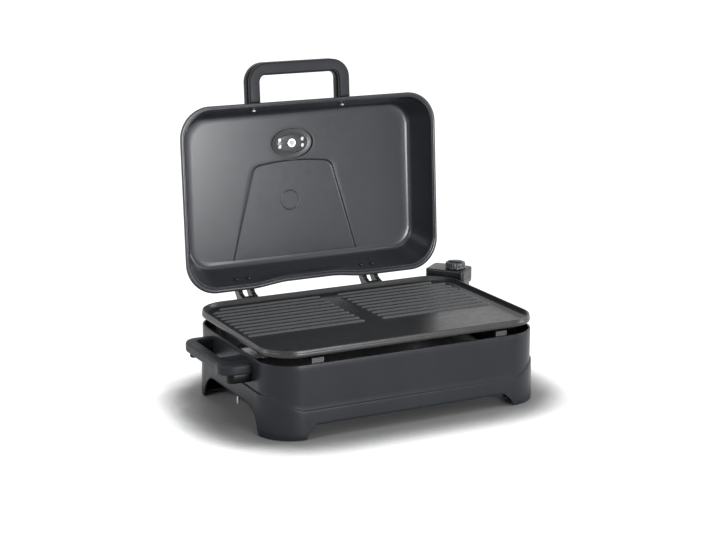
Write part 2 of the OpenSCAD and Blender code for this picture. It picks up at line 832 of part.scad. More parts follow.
module vent_screw() color("silver") in_lid() {
    translate([fitting_x, vent_y, lid_h - 0.6]) {
        translate([0, 0, -1.6]) cylinder(r = 3.6, h = 1.6);
        translate([0, 0, -cut / 2]) cylinder(r = vent_pin_r, h = 5.6 + cut / 2);
        translate([0, 0, 5.2]) cylinder(r = 3.4, h = 2.6);
    }
}

module vent_washer() color("silver") in_lid() {
    translate([fitting_x, vent_y, lid_h - 0.6])
        difference() {
            cylinder(r = 6.5, h = 0.9);
            translate([0, 0, -cut]) cylinder(r = vent_pin_r + bore_gap, h = 4);
        }
}

// Halves of the control housing, without their insides
module control_block(inset, low, high, r) {
    translate([control_face + control_l / 2, 0, low])
        block(control_l - 2 * inset, control_w - 2 * inset, high - low, r);
}

// The two screws that hold the halves together
module at_control_screws() {
    for (s = [-1, 1])
        translate([control_face + 9, s * (control_w / 2 - 9), 0]) children();
}

// Hole in the rear wall for the cord inlet, on the line between the halves
module inlet_hole() {
    translate([control_face + control_l - 2 * shell_t, 0, split_z]) rotate([0, 90, 0])
        cylinder(r = 6, h = 3 * shell_t);
}

module control_lower_housing() color([0.1, 0.1, 0.11]) in_control() {
    difference() {
        union() {
            control_block(0, control_low + 9, split_z - 0.05, control_r);
            control_block(3, control_low, control_low + 10, 4);
        }
        control_block(shell_t, control_low + 9 + shell_t, split_z + cut, 3);
        control_block(3 + shell_t, control_low + shell_t, control_low + 12, 2);
        // Holes in the front wall for the probe and the contact sockets
        translate([control_face - cut, 0, plug_z]) rotate([0, 90, 0]) cylinder(r = probe_r, h = 12);
        for (s = [-1, 1])
            translate([control_face - cut, s * pin_y, pin_z]) rotate([0, 90, 0])
                cylinder(r = socket_r, h = 15);
        inlet_hole();
        // Screw holes with sunk heads
        at_control_screws() {
            translate([0, 0, control_low - cut]) cylinder(r = 2.9, h = 1.2 + cut);
            translate([0, 0, control_low - cut]) cylinder(r = control_screw_r, h = 6);
        }
    }
}

module control_upper_housing() color([0.1, 0.1, 0.11]) in_control() {
    difference() {
        union() {
            difference() {
                control_block(0, split_z + 0.05, control_top, control_r);
                control_block(shell_t, split_z - cut, control_top - shell_t, 3);
            }
            at_control_screws()
                translate([0, 0, control_low + shell_t + gap])
                    cylinder(r = 3, h = control_top - control_low - 1.5 * shell_t - gap);
        }
        inlet_hole();
        at_control_screws()
            translate([0, 0, control_low]) cylinder(r = control_screw_r, h = control_screw_l + cut);
        translate([knob_out, knob_t, control_top - 10]) cylinder(r = shaft_r + bore_gap, h = 20);
        translate([knob_out, lamp_t, control_top - 10]) cylinder(r = lamp_r, h = 20);
    }
}

module control_screws() color("silver") in_control() {
    at_control_screws()
        translate([0, 0, control_low + 1.2]) rotate([180, 0, 0])
            screw(2.8, 1.2, control_screw_r, control_screw_l - 1.2);
}

// Bush that the cord enters through, with a free bore
module cord_inlet() color([0.08, 0.08, 0.08]) in_control() {
    translate([control_face + control_l - shell_t - 1.5, 0, split_z]) rotate([0, 90, 0])
        difference() {
            union() {
                cylinder(r = 5.95, h = shell_t + 1.5 + inlet_l);
                cylinder(r = 7.5, h = 1.4);
                translate([0, 0, shell_t + 1.6]) cylinder(r = 7.5, h = 2);
            }
            translate([0, 0, -cut]) cylinder(r = inlet_r, h = 40);
        }
}

module probe_tube() color("silver") in_control() {
    translate([control_face - probe_l, 0, plug_z]) rotate([0, 90, 0])
        cylinder(r = probe_r, h = probe_l + 2 * shell_t + 3);
}

module contact_sockets() color("goldenrod") in_control() {
    for (s = [-1, 1])
        translate([socket_x, s * pin_y, pin_z]) rotate([0, 90, 0])
            difference() {
                cylinder(r = socket_r, h = control_face + 14 - socket_x);
                translate([0, 0, -cut]) cylinder(r = pin_r + 0.1, h = 16);
            }
}

// Switch under the knob that the shaft turns
module thermostat_block() color("ivory") in_control() {
    translate([knob_out - 9, knob_t - 9, plug_z + 6])
        difference() {
            cube([18, 18, split_z - plug_z - 1]);
            translate([9, 9, 4]) cylinder(r = shaft_r + bore_gap, h = 40);
        }
}

module knob_shaft() color("silver") in_control() {
    translate([knob_out, knob_t, plug_z + 6 + 4.3])
        cylinder(r = shaft_r, h = knob_low + 6 - plug_z - 10.3);
}

// Knob with a raised grip across the top
module control_knob() color([0.3, 0.3, 0.32]) in_control() {
    translate([knob_out, knob_t, knob_low])
        difference() {
            union() {
                cylinder(r = knob_d / 2, h = 3);
                cylinder(r = knob_d / 2 - 1.5, h = knob_h - 2);
                intersection() {
                    cylinder(r = knob_d / 2 - 1.5, h = knob_h);
                    translate([-3, -knob_d / 2, 0]) cube([6, knob_d, knob_h]);
                }
            }
            translate([0, 0, -cut]) cylinder(r = shaft_r, h = 6 + cut);
        }
}

module pilot_lens() color([0.9, 0.55, 0.15]) in_control() {
    translate([knob_out, lamp_t, control_top - 3])
        union() {
            cylinder(r = lamp_r, h = 3);
            translate([0, 0, 3]) intersection() {
                cylinder(r = lamp_r, h = 2);
                translate([0, 0, -lamp_r + 1]) sphere(r = lamp_r);
            }
        }
}

module pilot_lamp() color("silver") in_control() {
    translate([knob_out, lamp_t, control_top - 12.4]) cylinder(r = 2, h = 9.2);
}

base_housing();
side_handle();
side_handle_screws();
rubber_feet();
heat_shield();
shield_studs();
plate_supports();
support_screws();
base_hinge_brackets();
base_hinge_screws();
hinge_pins();
drip_tray();
grill_plate();
heating_element();
element_clips();
terminal_pins();
terminal_insulators();
terminal_guard();
guard_screws();
lid_shell();
lid_handle();
lid_handle_screws();
lid_hinge_arms();
lid_hinge_screws();
vent_damper();
vent_screw();
vent_washer();
control_lower_housing();
control_upper_housing();
control_screws();
cord_inlet();
probe_tube();
contact_sockets();
thermostat_block();
knob_shaft();
control_knob();
pilot_lens();
pilot_lamp();
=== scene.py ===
"""Electric indoor grill with an open hinged lid: looks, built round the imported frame."""

from math import cos, pi, radians, sin

import bmesh
import bpy
import numpy as np
from bpy.props import FloatProperty, FloatVectorProperty, IntProperty, PointerProperty
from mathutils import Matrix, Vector


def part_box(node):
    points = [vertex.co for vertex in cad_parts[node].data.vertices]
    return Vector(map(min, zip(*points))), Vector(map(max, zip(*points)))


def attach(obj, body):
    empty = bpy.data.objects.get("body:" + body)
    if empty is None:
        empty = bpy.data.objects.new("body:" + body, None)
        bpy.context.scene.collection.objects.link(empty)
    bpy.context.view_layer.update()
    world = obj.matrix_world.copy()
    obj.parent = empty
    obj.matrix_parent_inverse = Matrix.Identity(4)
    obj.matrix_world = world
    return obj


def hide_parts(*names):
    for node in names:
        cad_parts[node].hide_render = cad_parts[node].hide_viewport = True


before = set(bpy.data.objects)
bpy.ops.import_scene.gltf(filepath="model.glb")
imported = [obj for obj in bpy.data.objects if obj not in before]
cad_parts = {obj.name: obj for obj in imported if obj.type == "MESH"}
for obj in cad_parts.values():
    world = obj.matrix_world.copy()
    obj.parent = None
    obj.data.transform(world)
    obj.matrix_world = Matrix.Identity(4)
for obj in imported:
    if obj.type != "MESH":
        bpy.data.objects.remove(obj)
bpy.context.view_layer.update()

bl_info = {
    "name": "Indoor Grill",
    "version": (1, 0, 0),
    "blender": (4, 5, 0),
    "location": "3D View > Sidebar > Grill",
    "description": "Builds the visible pieces of an electric indoor grill with a lid",
    "category": "Add Mesh",
}

MM = 0.001


def box_mm(name):
    """Lowest and highest corner of a frame node, in millimetres."""
    low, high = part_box(name)
    return np.array(low) / MM, np.array(high) / MM


# The pieces are drawn in millimetres about the middle of the base, on the table. What the
# frame doesn't give follows it by a fixed step or is the object's own size.
BASE_LOW, BASE_HIGH = box_mm("base_housing")
PLATE_LOW, PLATE_HIGH = box_mm("grill_plate")
PIN_LOW, PIN_HIGH = box_mm("hinge_pins")
LID_LOW, LID_HIGH = box_mm("lid_shell")
MIDDLE = np.array([(BASE_LOW[0] + BASE_HIGH[0]) / 2, (BASE_LOW[1] + BASE_HIGH[1]) / 2, 0.0])

# The base is a little wider than the plate, and flares out below its shoulder
FLARE = 3.5
PLATE_W = PLATE_HIGH[0] - PLATE_LOW[0]
PLATE_D = PLATE_HIGH[1] - PLATE_LOW[1]
BASE_W = PLATE_W + 2.0
BASE_D = BASE_HIGH[1] - BASE_LOW[1] - 2 * FLARE
BASE_H = BASE_HIGH[2]
BASE_R = 51.0
BASE_WALL = 3.0
SHOULDER_Z = 41.0
SHOULDER_CLIMB = 19.5
SHOULDER_STEP = 2.1

# The base's outline: half of each straight wall, a corner's arc, and the whole way round
BASE_X = BASE_W / 2 - BASE_R
BASE_Y = BASE_D / 2 - BASE_R
BASE_ARC = pi * BASE_R / 2
BASE_ROUND = 4 * (BASE_X + BASE_Y + BASE_ARC)

# Openings between the feet: low ones at the front and rear, and round ones at the sides that reach
# SIDE_ARCH to the front and rear of their middle
FOOT_Z = 1.0
FRONT_ARCH_Z = 19.7
SIDE_ARCH = 97.0
SIDE_ARCH_RISE = 35.0
SIDE_ARCH_Y = -3.5

# The plate, with its basin's floor, its underside and the band of its rim
PLATE_Y = (PLATE_HIGH[1] + PLATE_LOW[1]) / 2 - MIDDLE[1]
PLATE_TOP = PLATE_HIGH[2]
PLATE_R = 48.0
PLATE_FLOOR = PLATE_TOP - 7.5
PLATE_UNDER = PLATE_FLOOR - 5.5
PLATE_BAND = 10.0

# The lid, drawn closed with x sideways, y toward the hinges and z up from its rim
HINGE_Y = (PIN_LOW[1] + PIN_HIGH[1]) / 2 - MIDDLE[1]
HINGE_Z = (PIN_LOW[2] + PIN_HIGH[2]) / 2
HINGE_DROP = 7.2
HINGE_SPAN = 211.0
LID_OPEN = radians(93.5)
LID_W = LID_HIGH[0] - LID_LOW[0]
LID_D = PLATE_D - 9.0
LID_R = 48.0
LID_H = 52.0
LID_T = 1.6
LID_REAR = HINGE_Y - 13.4
LID_Y = LID_REAR - LID_D / 2
FRONT_SLOPE = 0.95
REAR_SLOPE = 1.3
FITTING_X = -12.0
VENT_Y = LID_REAR - LID_D + 70.0
HANDLE_W = 168.0
HANDLE_REACH = 58.0
HANDLE_BAR = 18.5
HANDLE_BEND = 20.0

# The heat control, out of the centre of the plate's rear right corner
CONTROL_ANGLE = radians(40.0)
CORNER = np.array([PLATE_W / 2 - PLATE_R, PLATE_Y + PLATE_D / 2 - PLATE_R, 0.0])
CONTROL_FACE = PLATE_R + 4.0
CONTROL_W = 64.0
CONTROL_L = 46.0
CONTROL_TOP = PLATE_TOP + 8.5
CONTROL_LOW = CONTROL_TOP - 34.0
SPLIT_Z = CONTROL_TOP - 14.0
KNOB_OUT = CONTROL_FACE + CONTROL_L / 2
KNOB_T = -11.0
KNOB_LOW = CONTROL_TOP + 0.4
KNOB_R = 16.0


# Frames of reference

def lid_place(points):
    """Points of the closed lid turned back about the hinge line to the open lid."""
    p = np.asarray(points, float)
    y = p[..., 1] - HINGE_Y
    z = p[..., 2] + HINGE_DROP
    s, c = sin(LID_OPEN), cos(LID_OPEN)
    return np.stack([p[..., 0], HINGE_Y + y * c + z * s, HINGE_Z - y * s + z * c], -1)


def control_place(points):
    """Points drawn at the control (outward, across, up) turned to their place."""
    p = np.asarray(points, float)
    s, c = sin(CONTROL_ANGLE), cos(CONTROL_ANGLE)
    x = CORNER[0] + p[..., 0] * c - p[..., 1] * s
    y = CORNER[1] + p[..., 0] * s + p[..., 1] * c
    return np.stack([x, y, p[..., 2]], -1)


# Plane outlines and steps

QUARTERS = ((1, 1), (-1, 1), (-1, -1), (1, -1))
UP = np.array([0.0, 0.0, 1.0])


def smooth_step(x, low, high):
    """0 below low, 1 above high, and a soft S between."""
    t = np.clip((x - low) / (high - low), 0.0, 1.0)
    return t * t * (3.0 - 2.0 * t)


def circle(steps):
    """Evenly spread angles of a full turn."""
    return np.linspace(0.0, 2 * pi, steps, endpoint=False)


def oval(x, y, a, b, z, angles):
    """Level ring about a middle, a wide and b deep to each side."""
    return np.stack([x + a * np.cos(angles), y + b * np.sin(angles), np.full_like(angles, z)], -1)


def at_height(flat, z):
    """Points of an outline lifted to one height, or to a height for each point."""
    return np.concatenate([flat, np.broadcast_to(z, len(flat))[:, None]], 1)


def rounded_rectangle(w, d, r, per_corner=24, per_side=(60, 40)):
    """Closed outline: four quarter circles joined by evenly divided straight sides."""
    a = np.linspace(0.0, pi / 2, per_corner, endpoint=False)
    centres = [np.array([sx * (w / 2 - r), sy * (d / 2 - r)]) for sx, sy in QUARTERS]
    parts = []
    for quarter, centre in enumerate(centres):
        turn = a + quarter * pi / 2
        arc = centre + r * np.stack([np.cos(turn), np.sin(turn)], -1)
        square = r * np.array([cos((quarter + 1) * pi / 2), sin((quarter + 1) * pi / 2)])
        end = centre + square
        start = centres[(quarter + 1) % 4] + square
        t = np.linspace(0.0, 1.0, per_side[quarter % 2], endpoint=False)[:, None]
        parts += [arc, end + (start - end) * t]
    return np.concatenate(parts)


def corner_arc(before, here, after, radius, steps):
    """Arc that rounds the corner at here between the straight lines to its two neighbours."""
    a = (before - here) / np.linalg.norm(before - here)
    b = (after - here) / np.linalg.norm(after - here)
    half = np.arccos(np.clip(a @ b, -1, 1)) / 2
    cut = radius / np.tan(half)
    middle = here + (a + b) / np.linalg.norm(a + b) * radius / sin(half)
    first, last = here + a * cut - middle, here + b * cut - middle
    total = np.arccos(np.clip(first @ last / radius ** 2, -1, 1))
    t = np.linspace(0, 1, steps)[:, None]
    return middle + (np.sin((1 - t) * total) * first + np.sin(t * total) * last) / sin(total)


def bend(points, radius, steps):
    """Polyline with its inner corners rounded by arcs of one radius."""
    points = [np.asarray(p, float) for p in points]
    arcs = [corner_arc(*three, radius, steps) for three in zip(points, points[1:], points[2:])]
    return np.concatenate([points[:1], *arcs, points[-1:]])


def spread(path, spacing):
    """The same polyline with points added so that no step is much longer than the spacing."""
    out = [path[:1]]
    for p, q in zip(path, path[1:]):
        n = max(1, int(np.linalg.norm(q - p) / spacing))
        out.append(p + (q - p) * (np.arange(1, n + 1) / n)[:, None])
    return np.concatenate(out)


def sweep(path, wide, tall, corner, steps):
    """Bar along a level path: a rounded rectangle, wide across the path and tall upward.

    Each ring stands square to the path, on the bisector at bends.
    """
    side = np.cross(np.gradient(path, axis=0), UP)
    side /= np.linalg.norm(side, axis=1)[:, None]
    wide = np.broadcast_to(wide, len(path))[:, None]
    tall = np.broadcast_to(tall, len(path))[:, None]
    a = np.linspace(0.0, pi / 2, steps)
    rings = []
    for quarter, (sx, sy) in enumerate(QUARTERS):
        turn = a + quarter * pi / 2
        u = sx * (wide / 2 - corner) + corner * np.cos(turn)
        v = sy * (tall / 2 - corner) + corner * np.sin(turn)
        rings.append(path[:, None] + side[:, None] * u[..., None] + UP * v[..., None])
    return np.concatenate(rings, 1)


def slab_rings(outline, low, high, edge):
    """Rings of a flat slab with small rounded edges, shrunk toward the middle."""
    centre = outline.mean(0)
    steps = [(edge, low), (edge * 0.3, low + edge * 0.3), (0.0, low + edge), (0.0, high - edge),
             (edge * 0.3, high - edge * 0.3), (edge, high)]
    rel = outline - centre
    length = np.linalg.norm(rel, axis=1)[:, None]
    return np.stack([at_height(centre + rel * (1 - inset / length), z) for inset, z in steps])


def outline_radius(outline, centre, angles):
    """Distance from a centre to a closed outline along each angle, by cutting its edges with rays."""
    rel = outline - centre
    bearing = np.arctan2(rel[:, 1], rel[:, 0])
    order = np.argsort(bearing)
    rel = rel[order]
    bearing = bearing[order]
    rel = np.concatenate([rel[-1:], rel, rel[:1]])
    bearing = np.concatenate([bearing[-1:] - 2 * pi, bearing, bearing[:1] + 2 * pi])
    wrapped = (angles + pi) % (2 * pi) - pi
    k = np.clip(np.searchsorted(bearing, wrapped, side="right") - 1, 0, len(rel) - 2)
    p, q = rel[k], rel[k + 1]
    edge = q - p
    ray = np.stack([np.cos(wrapped), np.sin(wrapped)], -1)
    across = ray[:, 0] * edge[:, 1] - ray[:, 1] * edge[:, 0]
    safe = np.where(np.abs(across) < 1e-9, 1.0, across)
    reach = (p[:, 0] * edge[:, 1] - p[:, 1] * edge[:, 0]) / safe
    return np.where(np.abs(across) < 1e-9, np.linalg.norm(p, axis=1), reach)


# Meshes

def quads(rows, columns, closed_rows=False, closed_columns=True):
    """Faces of a grid of points, row by row, joined round where it is closed."""
    r = np.arange(rows if closed_rows else rows - 1)[:, None]
    c = np.arange(columns if closed_columns else columns - 1)[None, :]
    below, after = (r + 1) % rows, (c + 1) % columns
    faces = np.stack(np.broadcast_arrays(r * columns + c, r * columns + after,
                                         below * columns + after, below * columns + c), -1)
    return faces.reshape(-1, 4)


def band(rings):
    """Points and faces of a row of closed rings, with the last ring joined to the first."""
    points = np.stack(rings)
    return points.reshape(-1, 3), [quads(*points.shape[:2], closed_rows=True)]


def capped(rings):
    """Points and faces of a row of closed rings, with a fan over the first and the last ring."""
    points = np.stack(rings)
    rows, columns = points.shape[:2]
    c = np.arange(columns)
    after = (c + 1) % columns
    base = rows * columns
    first = np.stack([np.full(columns, base), after, c], -1)
    last = np.stack([np.full(columns, base + 1), base - columns + c, base - columns + after], -1)
    ends = np.stack([points[0].mean(0), points[-1].mean(0)])
    return np.concatenate([points.reshape(-1, 3), ends]), [quads(rows, columns), first, last]


def build(name, shells, material, body, replaced=(), angle=40.0, merge=0.002):
    """Joins shells, each with its points and faces, into an object at the origin, smooth below an angle."""
    counts = [len(points) for points, _ in shells]
    points = (np.concatenate([points for points, _ in shells]) + MIDDLE) * MM
    offsets = np.cumsum([0, *counts[:-1]])
    faces = [f + offset for offset, (_, groups) in zip(offsets, shells) for f in groups]
    sizes = np.concatenate([np.full(len(f), f.shape[1]) for f in faces])
    corners = np.concatenate([f.ravel() for f in faces])
    starts = np.concatenate([[0], np.cumsum(sizes)[:-1]])
    mesh = bpy.data.meshes.new(name)
    mesh.vertices.add(len(points))
    mesh.vertices.foreach_set("co", points.astype(np.float32).ravel())
    mesh.loops.add(len(corners))
    mesh.loops.foreach_set("vertex_index", corners.astype(np.int32))
    mesh.polygons.add(len(sizes))
    mesh.polygons.foreach_set("loop_start", starts.astype(np.int32))
    mesh.update(calc_edges=True)
    mesh.validate()
    tidy_mesh(mesh, merge)
    mesh.shade_smooth()
    mesh.set_sharp_from_angle(angle=radians(angle))
    piece = bpy.data.objects.new(name, mesh)
    bpy.context.scene.collection.objects.link(piece)
    mesh.materials.append(material)
    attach(piece, body)
    if replaced:
        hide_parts(*replaced)
    return piece


def tidy_mesh(mesh, merge):
    """Joins points closer than merge, in millimetres, and turns every closed shell outwards."""
    work = bmesh.new()
    work.from_mesh(mesh)
    bmesh.ops.remove_doubles(work, verts=work.verts, dist=merge * MM)
    bmesh.ops.recalc_face_normals(work, faces=work.faces)
    work.to_mesh(mesh)
    work.free()


def cut_away(piece, shells):
    """Takes what the shells enclose out of a piece of the lid."""
    cutter = build("cutter", shells, piece.data.materials[0], "lid")
    cut = piece.modifiers.new("Opening", "BOOLEAN")
    cut.operation = "DIFFERENCE"
    cut.solver = "EXACT"
    cut.object = cutter
    shown = piece.evaluated_get(bpy.context.evaluated_depsgraph_get())
    mesh = bpy.data.meshes.new_from_object(shown)
    whole = piece.data
    piece.modifiers.clear()
    piece.data = mesh
    bpy.data.meshes.remove(whole)
    bpy.data.objects.remove(cutter)
    mesh.shade_smooth()
    mesh.set_sharp_from_angle(angle=radians(40.0))


# Materials

def fill(tree, shader, inputs):
    """Sets a node's inputs to values, or links them to other nodes' outputs."""
    for key, value in inputs.items():
        if isinstance(value, bpy.types.NodeSocket):
            tree.links.new(value, shader.inputs[key])
        else:
            shader.inputs[key].default_value = value


def node(tree, kind, inputs, **settings):
    """Adds a node with its settings and inputs."""
    made = tree.nodes.new(kind)
    for key, value in settings.items():
        setattr(made, key, value)
    fill(tree, made, inputs)
    return made


class Finish:
    """A small builder for one node material on Object coordinates."""

    def __init__(self, name, colour, roughness, metallic=0.0):
        self.material = bpy.data.materials.new(name)
        self.material.use_nodes = True
        self.tree = self.material.node_tree
        self.place = node(self.tree, "ShaderNodeTexCoord", {}).outputs["Object"]
        self.set({"Base Color": (*colour, 1.0), "Roughness": roughness, "Metallic": metallic})

    def set(self, inputs):
        """Sets or links inputs of the material's shader."""
        fill(self.tree, self.tree.nodes["Principled BSDF"], inputs)

    def noise(self, size, detail=2.0, scale=None):
        """Soft noise with features of about the given size in millimetres."""
        place = self.place
        if scale:
            place = node(self.tree, "ShaderNodeMapping", {"Scale": scale, "Vector": place}).outputs["Vector"]
        inputs = {"Scale": 1.0 / (size * MM), "Detail": detail, "Vector": place}
        return node(self.tree, "ShaderNodeTexNoise", inputs).outputs["Fac"]

    def cells(self, size):
        """Distance to the nearest of many scattered points."""
        inputs = {"Scale": 1.0 / (size * MM), "Vector": self.place}
        return node(self.tree, "ShaderNodeTexVoronoi", inputs).outputs["Distance"]

    def ramp(self, value, low, high, a, b):
        """Maps a value between low and high onto a to b."""
        inputs = {"Value": value, "From Min": low, "From Max": high, "To Min": a, "To Max": b}
        return node(self.tree, "ShaderNodeMapRange", inputs).outputs["Result"]

    def shade(self, value, dark, light, low=0.3, high=0.7):
        """Colour between dark and light by a value."""
        inputs = {"Factor": self.ramp(value, low, high, 0.0, 1.0), "A": (*dark, 1.0), "B": (*light, 1.0)}
        mix = node(self.tree, "ShaderNodeMix", inputs, data_type="RGBA")
        self.set({"Base Color": mix.outputs["Result"]})

    def vary_roughness(self, value, low, high):
        """Roughness between low and high by a value."""
        self.set({"Roughness": self.ramp(value, 0.3, 0.7, low, high)})

    def bump(self, value, depth, strength=1.0):
        """Adds fine relief, depth in millimetres."""
        inputs = {"Height": value, "Distance": depth * MM, "Strength": strength}
        self.set({"Normal": node(self.tree, "ShaderNodeBump", inputs).outputs["Normal"]})


def tone(colour, factor):
    return tuple(min(1.0, c * factor) for c in colour)


def moulded(name, colour, roughness, grain=0.9, depth=0.03, gloss=0.16):
    """Moulded plastic: fine spark grain, faint cloudiness in colour and gloss."""
    finish = Finish(name, colour, roughness)
    finish.set({"Specular IOR Level": gloss})
    finish.shade(finish.noise(60.0, 4.0), tone(colour, 0.93), tone(colour, 1.07))
    finish.vary_roughness(finish.noise(25.0, 5.0), roughness - 0.04, roughness + 0.05)
    finish.bump(finish.noise(grain, 3.0), depth)
    return finish.material


def painted(name, colour, roughness, metallic=0.1):
    """Baked paint: slight orange peel and a faint change of tone and gloss."""
    finish = Finish(name, colour, roughness, metallic)
    finish.set({"Specular IOR Level": 0.4})
    finish.shade(finish.noise(45.0, 3.0), tone(colour, 0.94), tone(colour, 1.06))
    finish.vary_roughness(finish.noise(8.0, 1.0), roughness - 0.015, roughness + 0.02)
    finish.bump(finish.noise(3.5, 0.0), 0.01, 0.6)
    return finish.material


def coated(name, colour, roughness):
    """Glossy non-stick coat: tiny light specks and a soft waviness."""
    finish = Finish(name, colour, roughness, 0.1)
    finish.shade(finish.cells(0.8), tone(colour, 1.25), tone(colour, 0.95), 0.05, 0.3)
    finish.vary_roughness(finish.noise(12.0, 6.0), roughness - 0.03, roughness + 0.06)
    finish.bump(finish.noise(3.0, 3.0), 0.03, 0.7)
    return finish.material


def drawn_metal(name, colour, roughness):
    """Rolled or drawn metal: fine lines along one direction."""
    finish = Finish(name, colour, roughness, 1.0)
    lines = finish.noise(0.7, 3.0, (0.06, 1.0, 1.0))
    finish.shade(lines, tone(colour, 0.88), tone(colour, 1.06))
    finish.vary_roughness(lines, roughness - 0.05, roughness + 0.08)
    finish.bump(lines, 0.02, 0.6)
    return finish.material


def plain_grain(name, colour, roughness, size, depth, metallic=0.0):
    """Matt material with a fine even grain."""
    finish = Finish(name, colour, roughness, metallic)
    finish.shade(finish.noise(size * 6, 4.0), tone(colour, 0.85), tone(colour, 1.12))
    finish.vary_roughness(finish.noise(size * 3, 3.0), roughness - 0.06, roughness + 0.06)
    finish.bump(finish.noise(size, 4.0), depth)
    return finish.material


# Lid

LID_CENTRE = np.array([FITTING_X, LID_Y - 20.0])
FLOOR_INSET = 28.5
# Pressed panel: where its rear and front edges are, their half widths, and the front edge's arch
PANEL_REAR = LID_REAR - 28.0
PANEL_FRONT = VENT_Y + 32.0
PANEL_REAR_HALF = 108.0
PANEL_FRONT_HALF = 66.0
PANEL_ARCH = 6.0
# How far beyond the panel's edge each row of its rounded step is, and its share of the step
PANEL_STEP = ((-1.6, 0.0), (-1.0, 0.15625), (-0.4, 0.5625), (0.2, 0.9375), (0.9, 1.0))


def lid_outline(inset, per_corner=24):
    """Outline of the lid at an inset: its rear wall slopes more than its front wall."""
    w = LID_W - 2 * inset
    d = LID_D - inset * (FRONT_SLOPE + REAR_SLOPE)
    shift = LID_Y + inset * (FRONT_SLOPE - REAR_SLOPE) / 2
    return rounded_rectangle(w, d, LID_R - 0.6 * inset, per_corner) + [0.0, shift]


def panel_outline(grow):
    """Pressed panel: straight slanting sides, a gently arched front edge and round corners."""
    w0, w1 = PANEL_REAR_HALF + grow, PANEL_FRONT_HALF + grow
    y0, y1 = PANEL_REAR + grow, PANEL_FRONT - grow
    points = [np.array(p) for p in ((w0, y0), (-w0, y0), (-w1, y1), (w1, y1))]
    radii = (5.0, 5.0, 12.0, 12.0)
    out = []
    for k, here in enumerate(points):
        goal = points[(k + 1) % 4]
        arc = corner_arc(points[k - 1], here, goal, radii[k], 12)
        stop = goal + (here - goal) / np.linalg.norm(here - goal) * radii[(k + 1) % 4]
        t = np.linspace(0, 1, 40)[1:-1, None]
        out += [arc, arc[-1] + (stop - arc[-1]) * t]
    out = np.concatenate(out)
    lean = 1 - (out[:, 0] / w1) ** 2
    nearness = smooth_step(-out[:, 1], -(y1 + 25), -(y1 + 5))
    out[:, 1] -= PANEL_ARCH * np.clip(lean, 0, 1) * nearness
    return out + [FITTING_X, 0.0]


def lid_rows(angles, press):
    """Rows of the lid's sheet from the middle of its inside, over the rim, to the middle of its outside.

    Each row is a distance from the centre along every angle, and a height over the rim. The
    profiles list insets from the rim's outline and heights. The panel is pressed in by press.
    """
    def wall(inset):
        return outline_radius(lid_outline(inset), LID_CENTRE, angles)

    def panel(grow):
        return outline_radius(panel_outline(grow), LID_CENTRE, angles)

    def floor(level):
        """From the middle over the panel and its step to the foot of the walls."""
        plateau, edge, limit = panel(PANEL_STEP[0][0]), panel(PANEL_STEP[-1][0]), wall(FLOOR_INSET)
        rows = [(plateau * share, level + press) for share in np.linspace(0.04, 0.97, 14)]
        rows += [(panel(grow), level + press - press * share) for grow, share in PANEL_STEP]
        return rows + [(edge + (limit - edge) * share, level) for share in np.linspace(0.06, 1.0, 16)]

    fillet = [(25.8, 50.0), (23.6, 49.4)]
    bowl = [(21.4, 49.2), (20.2, 46.4), (18.9, 43.0), (17.7, 39.0), (16.2, 34.5), (14.5, 29.5),
            (12.9, 24.0), (11.2, 18.0), (9.6, 12.5), (8.5, 8.0), (7.8, 4.6), (7.4, 2.2)]
    bowl = [(inset, z - LID_T * (z / LID_H) ** 2) for inset, z in bowl]
    hem = [(6.9, 1.0), (6.6, 0.5), (6.1, 0.3), (5.6, 0.5), (5.3, 1.1), (5.1, 1.7), (4.4, 1.7),
           (4.2, 1.0), (4.0, 0.35), (3.5, 0.05), (2.4, 0.0), (1.2, 0.05), (0.45, 0.35), (0.1, 0.9),
           (0.0, 1.7), (0.0, 3.6), (0.2, 4.5), (0.8, 5.2), (1.8, 5.6), (2.6, 5.8), (3.1, 6.4)]
    outer = [(4.2, 8.0), (5.9, 12.0), (7.6, 17.0), (9.3, 22.5), (11.0, 28.0), (12.6, 33.5),
             (14.1, 38.5), (15.6, 43.0), (17.2, 46.8), (19.3, 49.8), (22.0, 51.4), (25.5, 52.0)]
    walls = [(wall(inset), z) for inset, z in fillet + bowl + hem + outer]
    return floor(LID_H - LID_T) + walls + floor(LID_H)[::-1]


def lid_bow(points):
    """Draws the rear rim in between the hinges, fading with height and outward."""
    bow = 5.5
    x = points[..., 0] - FITTING_X
    across = 1 - smooth_step(np.abs(x), HINGE_SPAN / 2 - 70, HINGE_SPAN / 2 - 8)
    rear = smooth_step(points[..., 1], LID_REAR - 26, LID_REAR - 10)
    height = 1 - smooth_step(points[..., 2], 4.0, 26.0)
    points[..., 1] -= bow * across * rear * height
    return points


def lid_angles():
    """Directions from the lid's centre that meet its outline at even steps and the panel's corners."""
    outline = lid_outline(0.0, 30)
    edge = np.linalg.norm(np.roll(outline, -1, 0) - outline, axis=1)
    walk = np.concatenate([[0], np.cumsum(edge)])
    even = np.interp(np.linspace(0, walk[-1], 600, endpoint=False), walk[:-1], np.arange(len(outline)))
    k = even.astype(int)
    share = (even - k)[:, None]
    ring = outline[k] * (1 - share) + outline[(k + 1) % len(outline)] * share
    fan = np.concatenate([ring, panel_outline(0.0)[::2]]) - LID_CENTRE
    return np.unique(np.round(np.arctan2(fan[:, 1], fan[:, 0]), 4))


